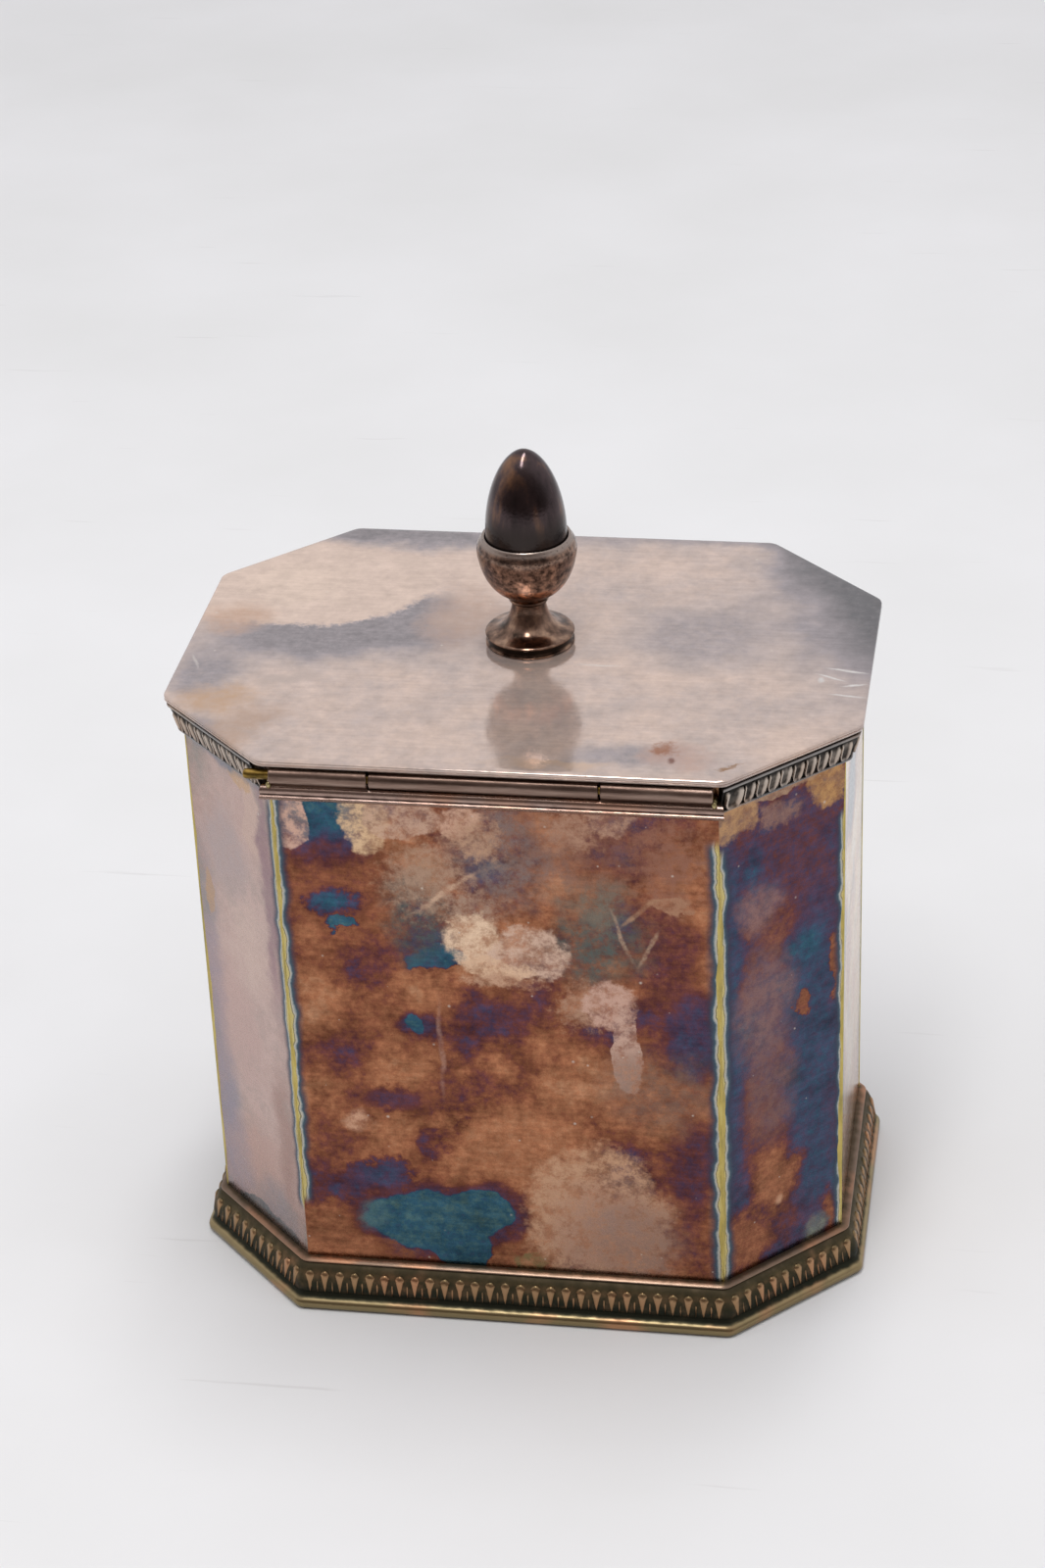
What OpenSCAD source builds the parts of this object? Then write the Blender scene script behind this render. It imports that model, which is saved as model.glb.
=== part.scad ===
// Octagonal tea caddy in plated sheet: eight soldered wall panels, cast mouldings round the rim and
// the base, a flat lid on a long knuckle hinge, and an acorn finial bolted through the lid.
// Origin: centre of the base, on the surface it stands on. +Z up, front at -Y, hinge at +Y.

/* [Body] */
// Width across the outsides of the left and right walls
body_w = 114; // [90:1:150]
// Depth across the outsides of the front and back walls
body_d = 82; // [66:1:110]
// Height of the top of the walls above the surface
wall_h = 112.7; // [80:0.1:150]
// Length that a cut corner takes off each wall beside it
corner_cut = 19.3; // [14:0.1:24]
// Thickness of the wall sheet
wall_t = 1.2; // [0.8:0.1:1.6]
// Thickness of the base plate
base_t = 1.2; // [0.8:0.1:2]

/* [Mouldings] */
// How far the base moulding stands out from the walls
base_out = 4.1; // [3.2:0.1:5.5]
// Height of the base moulding
base_h = 9.6; // [8:0.1:12]
// Height of the foot flange at the bottom of the base moulding
flange_h = 2.2; // [1.5:0.1:3]
// Height of the rim moulding
rim_h = 6; // [4.5:0.1:7.5]
// How far the rim moulding's top edge stays inside the lid's edge
rim_inset = 0.4; // [0.2:0.1:0.8]
// How far the rim moulding's bottom edge stands out from the walls
rim_foot = 1.1; // [0.8:0.1:1.6]

/* [Lid] */
// How far the lid's edge overhangs the walls
lid_over = 3; // [2.4:0.1:4]
// Thickness of the lid at its hemmed edge
lid_t = 1.2; // [0.9:0.1:2]
// Radius of the lid's eight rounded corners
lid_corner_r = 3; // [1.5:0.1:5]
// Gap between the closed lid and the top of the walls
lid_gap = 0.1; // [0.05:0.05:0.2]
// Depth of the flange under the lid that drops inside the walls
bezel_h = 3; // [2:0.1:4]
// Thickness of that flange
bezel_t = 0.8; // [0.6:0.1:1.2]
// Gap between that flange and the inside of the walls
bezel_gap = 0.8; // [0.6:0.1:1.2]

/* [Hinge] */
// Outer radius of the hinge knuckles
knuckle_r = 1.6; // [1.4:0.1:1.9]
// Radius of the hinge pin
pin_r = 0.9; // [0.7:0.05:1]
// Radial clearance of the lid's knuckle on the pin
pin_clear = 0.05; // [0.02:0.01:0.1]
// Gap between the knuckles and the back wall
knuckle_gap = 0.2; // [0.15:0.05:0.4]
// Gap between the knuckles and the underside of the lid
knuckle_drop = 0.4; // [0.3:0.05:0.6]
// Gap between the lid's knuckle and the ledge below it
ledge_gap = 0.2; // [0.15:0.05:0.4]
// Gap between neighbouring knuckles
joint_gap = 0.3; // [0.2:0.05:0.5]
// Length of the lid's knuckle
lid_knuckle_w = 38.4; // [28:0.1:46]
// How far the lid's knuckle sits off the middle
lid_knuckle_x = 1; // [-3:0.1:3]
// How far the hinge stops short of the back wall's corners
hinge_end = 0.6; // [0.4:0.1:2]
// How far the pin sticks out of the hinge's +X end
pin_proud = 4.5; // [2:0.1:6]
// Gap between the pin and the end of the rim moulding beside it
pin_gap = 0.3; // [0.2:0.05:0.6]
// How far the ledge under the hinge stands out from the back wall
ledge_out = 3; // [2.4:0.1:4]
// Height of the ledge under the hinge
ledge_h = 2.8; // [2:0.1:3.5]

/* [Finial] */
// How far the finial stands in front of the lid's middle
finial_front = 2.4; // [0:0.1:4]
// Radius of the finial's foot
foot_r = 7.8; // [6.5:0.1:10]
// Height of the upright edge of that foot
foot_edge = 2.2; // [1.4:0.1:3]
// Height of the finial's foot and stem
foot_h = 8.9; // [7:0.1:11]
// Radius of the stem at its narrowest
neck_r = 2.9; // [2.5:0.1:4]
// Radius of the acorn cup at its widest
cup_r = 8.7; // [8.4:0.1:11]
// Height of the acorn cup
cup_h = 11.7; // [10:0.1:15]
// Radius of the nut of the acorn
nut_r = 7.1; // [6:0.1:7.3]
// Width of the cup's lip round the nut
lip_w = 0.7; // [0.4:0.1:1]
// Height of the nut of the acorn above the cup
nut_h = 15.9; // [11:0.1:20]
// Depth of the nut's seat inside the cup
seat_h = 2; // [1:0.1:3]
// Radius of the stud through the lid
stud_r = 1.5; // [1.2:0.1:1.8]
// Clearance of the stud in the lid, the foot and the cup
stud_clear = 0.1; // [0.05:0.05:0.2]
// Thickness of the washer under the lid
washer_t = 0.8; // [0.6:0.1:1.2]
// Radius of that washer
washer_r = 5; // [4.2:0.1:6]
// Width across the corners of the hexagonal nut under the washer
hex_w = 6.4; // [5.6:0.1:8]
// Thickness of that nut
hex_t = 2.4; // [1.8:0.1:3]
// How far the stud goes into the acorn
stud_in = 7; // [5:0.1:9]
// How far the stud sticks out of the hexagonal nut
stud_tail = 0.6; // [0.4:0.1:1.5]

/* [Hidden] */

// Colours of the tarnished plate, the dark recesses and the bare brass
PLATE = "#9c8d88";
COPPERY = "#8a5f52";
DARK = "#6d635c";
BRASS = "#8f7a45";

// Finish of the round faces
$fn = 72;
// Points along a curved stretch of a section
STEPS = 7;
// How much more pointed the acorn's nut is than half an ellipse
NUT_POINT = 1.1;
// Far enough for a cutting shape to clear what it cuts
PAST = 1;

// Sides of the octagon, counted anticlockwise from the front right corner
FRONT_RIGHT = 0;
RIGHT = 1;
BACK_RIGHT = 2;
BACK = 3;
BACK_LEFT = 4;
LEFT = 5;
FRONT_LEFT = 6;
FRONT = 7;

// How much the corner cut grows for each millimetre that the octagon grows outwards
CUT_GROWTH = 2 - sqrt(2);

lid_z = wall_h + lid_gap;
lid_top = lid_z + lid_t;
hinge_y = body_d / 2 + knuckle_gap + knuckle_r;
hinge_z = lid_z - knuckle_drop - knuckle_r;
ledge_z = hinge_z - knuckle_r - ledge_gap;
hinge_half = body_w / 2 - corner_cut - hinge_end;
lid_knuckle_lo = lid_knuckle_x - lid_knuckle_w / 2;
lid_knuckle_hi = lid_knuckle_x + lid_knuckle_w / 2;
// The knuckles reach the ledge or the lid through a web this wide
web_w = knuckle_r * 1.1;
rim_out = lid_over - rim_inset;
// The rim moulding beside the pin stops this far short of its corner, so that the pin passes its end
rim_stop = rim_out - sqrt(2) * (knuckle_gap + knuckle_r - pin_r) + pin_gap;
cup_z = lid_top + foot_h;
nut_z = cup_z + cup_h;
tip_z = nut_z + nut_h;
washer_z = lid_z - washer_t;
hex_z = washer_z - hex_t;
bore_r = stud_r + stud_clear;

// Direction that a side of the octagon faces, in degrees from +X
function facing(side) = 45 * (side - 1);

// The eight corners of the walls' outline moved outwards by `out`; side i runs from corner i
function corners(out) =
    let (x = body_w / 2 + out, y = body_d / 2 + out, c = corner_cut + out * CUT_GROWTH)
    [[x - c, -y], [x, c - y], [x, y - c], [x - c, y], [c - x, y], [-x, y - c], [-x, c - y], [c - x, -y]];

// The same outline with its corners rounded to radius r
function rounded(out, r) = [
    for (i = [0 : 7], k = [0 : STEPS])
        let (a = facing(i - 1) + 45 * k / STEPS, p = corners(out - r)[i])
        p + r * [cos(a), sin(a)]
];

// The plan of one side of the octagon between two outlines, mitred at both ends
function mitred(side, inside, outside) =
    let (a = corners(inside), b = corners(outside), n = (side + 1) % 8)
    [a[side], b[side], b[n], a[n]];

// A curve from a to c that leaves and arrives along the lines to b
function curve(a, b, c) = [
    for (k = [0 : STEPS])
        let (t = k / STEPS)
        (1 - t) * (1 - t) * a + 2 * t * (1 - t) * b + t * t * c
];

// A length of moulding along one side, with a section drawn outwards and upwards, and mitred ends
module moulding(side, section, out) {
    p = corners(0)[(side + 1) % 8];
    q = corners(0)[side];
    run = norm(p - q) + 2 * (out + PAST);
    ends = (out + PAST) * [cos(facing(side) + 90), sin(facing(side) + 90)];
    intersection() {
        translate([p.x + ends.x, p.y + ends.y, 0])
            rotate([90, 0, facing(side)])
                linear_extrude(run)
                    polygon(section);
        translate([0, 0, -PAST])
            linear_extrude(lid_top + 2 * PAST)
                polygon(mitred(side, -PAST, out + PAST));
    }
}

// A straight tube along X between two places, on the hinge's axis
module hinge_tube(x_lo, x_hi, r) {
    translate([x_lo, hinge_y, hinge_z])
        rotate([0, 90, 0])
            cylinder(h = x_hi - x_lo, r = r);
}

// A knuckle with a web below it (up = -1) or above it (up = 1), bored to radius bore
module knuckle(x_lo, x_hi, up, reach, bore) {
    difference() {
        union() {
            hinge_tube(x_lo, x_hi, knuckle_r);
            translate([x_lo, hinge_y - web_w / 2, up > 0 ? hinge_z : hinge_z - reach])
                cube([x_hi - x_lo, web_w, reach]);
        }
        hinge_tube(x_lo - PAST, x_hi + PAST, bore);
    }
}

// Puts a piece on the finial's own axis
module on_finial_axis() {
    translate([0, -finial_front, 0])
        children();
}

// A turned piece on that axis, from its half section
module turned(section) {
    on_finial_axis()
        rotate_extrude()
            polygon(section);
}

module base_plate() {
    color(DARK)
        linear_extrude(base_t)
            polygon(corners(0));
}

module wall(side) {
    color(side % 2 == 0 ? PLATE : COPPERY)
        translate([0, 0, base_t])
            linear_extrude(wall_h - base_t)
                polygon(mitred(side, -wall_t, 0));
}

// Foot flange, ogee stretch that carries the row of darts, and a bead along the top
module base_moulding(side) {
    bead = base_h * 0.16;
    section = concat(
        [[0, 0]],
        curve([base_out * 0.9, 0], [base_out, 0], [base_out, flange_h * 0.5]),
        curve([base_out, flange_h * 0.5], [base_out, flange_h], [base_out * 0.8, flange_h]),
        curve([base_out * 0.72, flange_h], [base_out * 0.62, base_h * 0.5], [base_out * 0.36, base_h - 1.3 * bead]),
        curve([base_out * 0.36, base_h - bead], [base_out * 0.6, base_h - bead / 2], [base_out * 0.36, base_h]),
        [[0, base_h]]
    );
    color(DARK)
        moulding(side, section, base_out);
}

// Overhanging cove under the lid's edge that carries the row of leaves
module rim_moulding(side) {
    z = wall_h - rim_h;
    lip = rim_h * 0.18;
    section = concat(
        [[0, z]],
        curve([rim_foot, z], [rim_foot + 0.3, z + lip / 2], [rim_foot, z + lip]),
        curve([rim_foot, z + lip], [rim_out, z + rim_h * 0.4], [rim_out, wall_h - lip / 2]),
        [[rim_out, wall_h], [0, wall_h]]
    );
    color(PLATE)
        difference() {
            moulding(side, section, rim_out);
            if (side == BACK_RIGHT)
                translate([corners(0)[BACK].x, corners(0)[BACK].y, 0])
                    rotate(facing(side))
                        translate([-PAST, -rim_stop, 0])
                            cube([rim_out + 2 * PAST, rim_stop + rim_out + PAST, lid_top]);
        }
}

// Rounded strip along the top of the back wall that the knuckles are soldered to
module hinge_ledge() {
    z = ledge_z - ledge_h;
    section = concat(
        [[0, z]],
        curve([ledge_out * 0.8, z], [ledge_out, z], [ledge_out, z + ledge_h * 0.4]),
        curve([ledge_out, z + ledge_h * 0.4], [ledge_out, ledge_z], [ledge_out * 0.66, ledge_z]),
        [[0, ledge_z]]
    );
    color(COPPERY)
        moulding(BACK, section, ledge_out);
}

module knuckle_left() {
    color(COPPERY)
        knuckle(-hinge_half, lid_knuckle_lo - joint_gap, -1, hinge_z - ledge_z, pin_r);
}

module knuckle_right() {
    color(COPPERY)
        knuckle(lid_knuckle_hi + joint_gap, hinge_half, -1, hinge_z - ledge_z, pin_r);
}

module hinge_pin() {
    color(BRASS)
        hinge_tube(-hinge_half, hinge_half + pin_proud, pin_r);
}

module lid_plate() {
    color(PLATE)
        translate([0, 0, lid_z])
            difference() {
                linear_extrude(lid_t)
                    polygon(rounded(lid_over, lid_corner_r));
                on_finial_axis()
                    translate([0, 0, -PAST])
                        cylinder(h = lid_t + 2 * PAST, r = bore_r);
            }
}

// Flange soldered under the lid, one strip bent round the inside of the walls
module lid_bezel() {
    outside = -wall_t - bezel_gap;
    color(DARK)
        translate([0, 0, lid_z - bezel_h])
            difference() {
                linear_extrude(bezel_h)
                    polygon(corners(outside));
                translate([0, 0, -PAST])
                    linear_extrude(bezel_h + 2 * PAST)
                        polygon(corners(outside - bezel_t));
            }
}

module lid_knuckle() {
    color(COPPERY)
        knuckle(lid_knuckle_lo, lid_knuckle_hi, 1, lid_z - hinge_z, pin_r + pin_clear);
}

// Round foot with an upright edge, swept in to the stem and a thin ring under the cup
module finial_foot() {
    top = lid_top + foot_edge;
    ring = 0.5;
    section = concat(
        [[bore_r, lid_top]],
        curve([foot_r * 0.98, lid_top], [foot_r * 1.02, lid_top + foot_edge / 2], [foot_r * 0.98, top]),
        curve([foot_r * 0.94, top + 0.1], [neck_r * 1.3, top + 0.4], [neck_r, cup_z - 2 * ring]),
        curve([neck_r, cup_z - ring], [neck_r + ring, cup_z - ring / 2], [neck_r, cup_z]),
        [[bore_r, cup_z]]
    );
    color(COPPERY)
        turned(section);
}

// Acorn cup: a bowl on the stem, drawn in again to a thin lip, with a seat for the nut
module acorn_cup() {
    lip_r = nut_r + lip_w;
    widest_z = cup_z + cup_h * 0.75;
    lip_z = nut_z - lip_w;
    section = concat(
        [[bore_r, cup_z]],
        curve([neck_r, cup_z], [cup_r * 0.9, cup_z + cup_h * 0.14], [cup_r, widest_z]),
        curve([cup_r, widest_z], [cup_r, lip_z - 0.1], [lip_r, lip_z]),
        [[lip_r, nut_z], [nut_r, nut_z], [nut_r, nut_z - seat_h], [bore_r, nut_z - seat_h]]
    );
    color(COPPERY)
        turned(section);
}

// Nut of the acorn, an egg shape tapped from below for the stud, straight where the cup holds it
module acorn_nut() {
    bottom = nut_z - seat_h;
    egg = [
        for (k = [0 : 3 * STEPS])
            let (a = 90 * k / (3 * STEPS))
            [nut_r * pow(cos(a), NUT_POINT), nut_z + nut_h * sin(a)]
    ];
    section = concat([[stud_r, bottom], [nut_r, bottom]], egg, [[0, bottom + stud_in], [stud_r, bottom + stud_in]]);
    color(DARK)
        turned(section);
}

module finial_stud() {
    low = hex_z - stud_tail;
    color(BRASS)
        translate([0, -finial_front, low])
            cylinder(h = nut_z - seat_h + stud_in - low, r = stud_r);
}

module finial_washer() {
    color(BRASS)
        translate([0, -finial_front, washer_z])
            difference() {
                cylinder(h = washer_t, r = washer_r);
                translate([0, 0, -PAST])
                    cylinder(h = washer_t + 2 * PAST, r = bore_r);
            }
}

module finial_fixing_nut() {
    color(BRASS)
        translate([0, -finial_front, hex_z])
            difference() {
                cylinder(h = hex_t, r = hex_w / 2, $fn = 6);
                translate([0, 0, -PAST])
                    cylinder(h = hex_t + 2 * PAST, r = stud_r);
            }
}

base_plate();
wall(FRONT);  // wall_front
wall(FRONT_RIGHT);  // wall_front_right
wall(RIGHT);  // wall_right
wall(BACK_RIGHT);  // wall_back_right
wall(BACK);  // wall_back
wall(BACK_LEFT);  // wall_back_left
wall(LEFT);  // wall_left
wall(FRONT_LEFT);  // wall_front_left
base_moulding(FRONT);  // base_moulding_front
base_moulding(FRONT_RIGHT);  // base_moulding_front_right
base_moulding(RIGHT);  // base_moulding_right
base_moulding(BACK_RIGHT);  // base_moulding_back_right
base_moulding(BACK);  // base_moulding_back
base_moulding(BACK_LEFT);  // base_moulding_back_left
base_moulding(LEFT);  // base_moulding_left
base_moulding(FRONT_LEFT);  // base_moulding_front_left
rim_moulding(FRONT);  // rim_moulding_front
rim_moulding(FRONT_RIGHT);  // rim_moulding_front_right
rim_moulding(RIGHT);  // rim_moulding_right
rim_moulding(BACK_RIGHT);  // rim_moulding_back_right
rim_moulding(BACK_LEFT);  // rim_moulding_back_left
rim_moulding(LEFT);  // rim_moulding_left
rim_moulding(FRONT_LEFT);  // rim_moulding_front_left
hinge_ledge();
knuckle_left();
knuckle_right();
hinge_pin();
lid_plate();
lid_bezel();
lid_knuckle();
finial_foot();
acorn_cup();
acorn_nut();
finial_stud();
finial_washer();
finial_fixing_nut();
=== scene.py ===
"""Looks of an octagonal tea caddy in tarnished silver plate, with an acorn finial, round its CAD frame.

Lengths are in millimetres until a piece is finished, when its mesh is turned to metres. The hinge side
of the caddy faces +Y. Sides and corners count anticlockwise from the front right, as in the CAD part.
"""

import logging
import math
import random
from dataclasses import dataclass, field
from enum import Enum

import bmesh
import bpy
from mathutils import Euler, Matrix, Vector


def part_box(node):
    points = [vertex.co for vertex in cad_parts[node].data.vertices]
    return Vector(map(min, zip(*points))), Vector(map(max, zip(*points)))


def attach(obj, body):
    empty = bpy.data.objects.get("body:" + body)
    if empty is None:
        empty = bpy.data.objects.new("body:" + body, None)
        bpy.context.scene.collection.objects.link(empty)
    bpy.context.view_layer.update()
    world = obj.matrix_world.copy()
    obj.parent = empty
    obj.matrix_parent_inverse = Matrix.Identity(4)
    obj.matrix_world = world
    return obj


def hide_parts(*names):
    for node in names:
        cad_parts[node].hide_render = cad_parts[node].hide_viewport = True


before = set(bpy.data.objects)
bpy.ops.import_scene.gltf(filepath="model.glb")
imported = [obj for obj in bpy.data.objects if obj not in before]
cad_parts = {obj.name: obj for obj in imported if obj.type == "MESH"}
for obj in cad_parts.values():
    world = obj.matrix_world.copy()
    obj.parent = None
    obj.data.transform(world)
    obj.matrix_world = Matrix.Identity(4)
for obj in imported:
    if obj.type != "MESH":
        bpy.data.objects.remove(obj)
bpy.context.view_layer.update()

log = logging.getLogger("tea_caddy")

MM = 0.001
PER_METRE = 1000.0
# Faces that meet at more than this are shaded with a crisp edge
CRISP_ANGLE = math.radians(38)
# Larger than any place on the caddy, so that a mark reaches through a sheet's thickness
THROUGH = 1.0e5
RELIEF = "relief"
MIX_A, MIX_B, MIX_RESULT = 6, 7, 2


def linear(colour: str) -> tuple[float, float, float, float]:
    """Turns an sRGB hex colour into the linear colour that a shader takes.

    Args:
        colour: the colour as "#rrggbb".

    Returns:
        Linear red, green and blue, and an alpha of one.
    """
    parts = (int(colour[place : place + 2], 16) / 255 for place in (1, 3, 5))
    red, green, blue = (
        part / 12.92 if part <= 0.04045 else ((part + 0.055) / 1.055) ** 2.4 for part in parts
    )
    return red, green, blue, 1.0


def box_mm(node: str) -> tuple[Vector, Vector]:
    """Gives a CAD node's lowest and highest corners in millimetres.

    Args:
        node: the node's name.

    Returns:
        The lowest corner and the highest corner.
    """
    low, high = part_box(node)
    return low * PER_METRE, high * PER_METRE


class Body(str, Enum):
    """The two bodies that the hinge joins."""

    BOX = "box"
    LID = "lid"


class Side(int, Enum):
    """Sides of the octagon; a side runs from the corner of its own number to the next."""

    FRONT_RIGHT = 0
    RIGHT = 1
    BACK_RIGHT = 2
    BACK = 3
    BACK_LEFT = 4
    LEFT = 5
    FRONT_LEFT = 6
    FRONT = 7

    @property
    def node_end(self) -> str:
        """The end of the names of the CAD nodes on this side."""
        return self.name.lower()

    @property
    def facing(self) -> float:
        """Direction that the side faces, in radians from +X."""
        return math.radians(45 * (self.value - 1))


# ---------------------------------------------------------------------------------------------
# Shader nodes
# ---------------------------------------------------------------------------------------------


class Kind(str, Enum):
    """The kinds of shader node that the finishes use."""

    SURFACE = "ShaderNodeBsdfPrincipled"
    OUTPUT = "ShaderNodeOutputMaterial"
    PLACE = "ShaderNodeTexCoord"
    MAPPING = "ShaderNodeMapping"
    ATTRIBUTE = "ShaderNodeAttribute"
    NOISE = "ShaderNodeTexNoise"
    CELLS = "ShaderNodeTexVoronoi"
    RAMP = "ShaderNodeValToRGB"
    RANGE = "ShaderNodeMapRange"
    MATH = "ShaderNodeMath"
    VECTOR = "ShaderNodeVectorMath"
    SPLIT = "ShaderNodeSeparateXYZ"
    MIX = "ShaderNodeMix"
    BUMP = "ShaderNodeBump"


Stops = tuple[tuple[float, str], ...]
Socket = bpy.types.NodeSocket


def add_node(
    tree: bpy.types.NodeTree,
    kind: str,
    inputs: dict | None = None,
    stops: Stops = (),
    **settings: object,
) -> bpy.types.Node:
    """Adds one node with its settings, colour stops, values and links.

    Args:
        tree: the node tree that the node joins.
        kind: the node's type.
        inputs: socket name or number to a value, or to the output that feeds it.
        stops: place and hex colour of each stop, for a colour ramp.
        settings: attributes of the node itself.

    Returns:
        The new node.
    """
    node = tree.nodes.new(kind)
    for name, value in settings.items():
        setattr(node, name, value)
    if stops:
        elements = node.color_ramp.elements
        elements[0].position, elements[1].position = stops[0][0], stops[-1][0]
        elements[0].color, elements[1].color = linear(stops[0][1]), linear(stops[-1][1])
        for place, colour in stops[1:-1]:
            elements.new(place).color = linear(colour)
    for name, value in (inputs or {}).items():
        if isinstance(value, Socket):
            tree.links.new(value, node.inputs[name])
        else:
            node.inputs[name].default_value = value
    return node


class Shader:
    """A material under construction: its tree, its surface and its places in millimetres."""

    def __init__(self, name: str, metallic: float, roughness: float) -> None:
        """Starts the material with a surface shader and object coordinates.

        Args:
            name: the material's name.
            metallic: how metallic the surface is, from 0 to 1.
            roughness: the roughness where no node sets it.
        """
        self.material = bpy.data.materials.new(name)
        self.material.use_nodes = True
        self.tree = self.material.node_tree
        self.tree.nodes.clear()
        self.surface = self.add(Kind.SURFACE, {"Metallic": metallic, "Roughness": roughness})
        self.add(Kind.OUTPUT, {"Surface": self.surface.outputs[0]})
        coordinates = self.add(Kind.PLACE)
        millimetres = (PER_METRE,) * 3
        scaled = {"Vector": coordinates.outputs["Object"], "Scale": millimetres}
        self.place = self.add(Kind.MAPPING, scaled).outputs[0]

    def add(
        self, kind: Kind, inputs: dict | None = None, stops: Stops = (), **settings: object
    ) -> bpy.types.Node:
        """Adds a node to this material; see add_node."""
        return add_node(self.tree, kind.value, inputs, stops, **settings)

    def feed(self, socket: str, value: Socket) -> None:
        """Links an output to a socket of the surface shader."""
        self.tree.links.new(value, self.surface.inputs[socket])


# ---------------------------------------------------------------------------------------------
# Finishes
# ---------------------------------------------------------------------------------------------


class Edge(Enum):
    """How the rim of a mark looks: its blur, how far it wanders in mm, and its grain."""

    SHARP = (0.05, 3.0, 0.2)
    RAGGED = (0.14, 5.0, 0.5)
    SOFT = (0.55, 6.0, 0.35)
    SPECKLED = (0.55, 4.0, 3.0)
    LINE = (0.6, 1.2, 0.3)

    @property
    def blur(self) -> float:
        """Half the width of the fade, as a share of the mark's own half size."""
        return self.value[0]

    @property
    def wander(self) -> float:
        """How far the rim wanders, in millimetres."""
        return self.value[1]

    @property
    def grain(self) -> float:
        """How much fine grain breaks the rim up."""
        return self.value[2]


@dataclass(frozen=True)
class Mark:
    """A mark on a flat sheet: a film of another thickness, or a colour rubbed over it."""

    across: float
    up: float
    half_width: float
    half_height: float
    film: float | None = None
    colour: str = ""
    edge: Edge = Edge.RAGGED
    turn: float = 0.0
    strength: float = 1.0


@dataclass(frozen=True)
class Seam:
    """Worn stripe along one upright edge of a wall, between two heights."""

    low: float = 0.0
    high: float = 0.0
    width: float = 1.0


# Colours that a sulphide film gives silver plate as it thickens: straw, copper, purple, blue, teal,
# and then the washed-out second order
FILM: Stops = (
    (0.0, "#d3c4b2"),
    (0.10, "#cfae84"),
    (0.20, "#b98868"),
    (0.32, "#a66f50"),
    (0.43, "#85523c"),
    (0.52, "#673c3c"),
    (0.60, "#503f55"),
    (0.68, "#404a62"),
    (0.76, "#33596c"),
    (0.84, "#4f6c6d"),
    (0.92, "#84827c"),
    (1.0, "#ab8e85"),
)

# A thin even film on a much handled top: warm beige, taupe, mauve grey, slate
HANDLED_FILM: Stops = (
    (0.0, "#dfc8b7"),
    (0.25, "#d5beb0"),
    (0.5, "#c2b1a9"),
    (0.75, "#9f9698"),
    (1.0, "#6b696b"),
)


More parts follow.
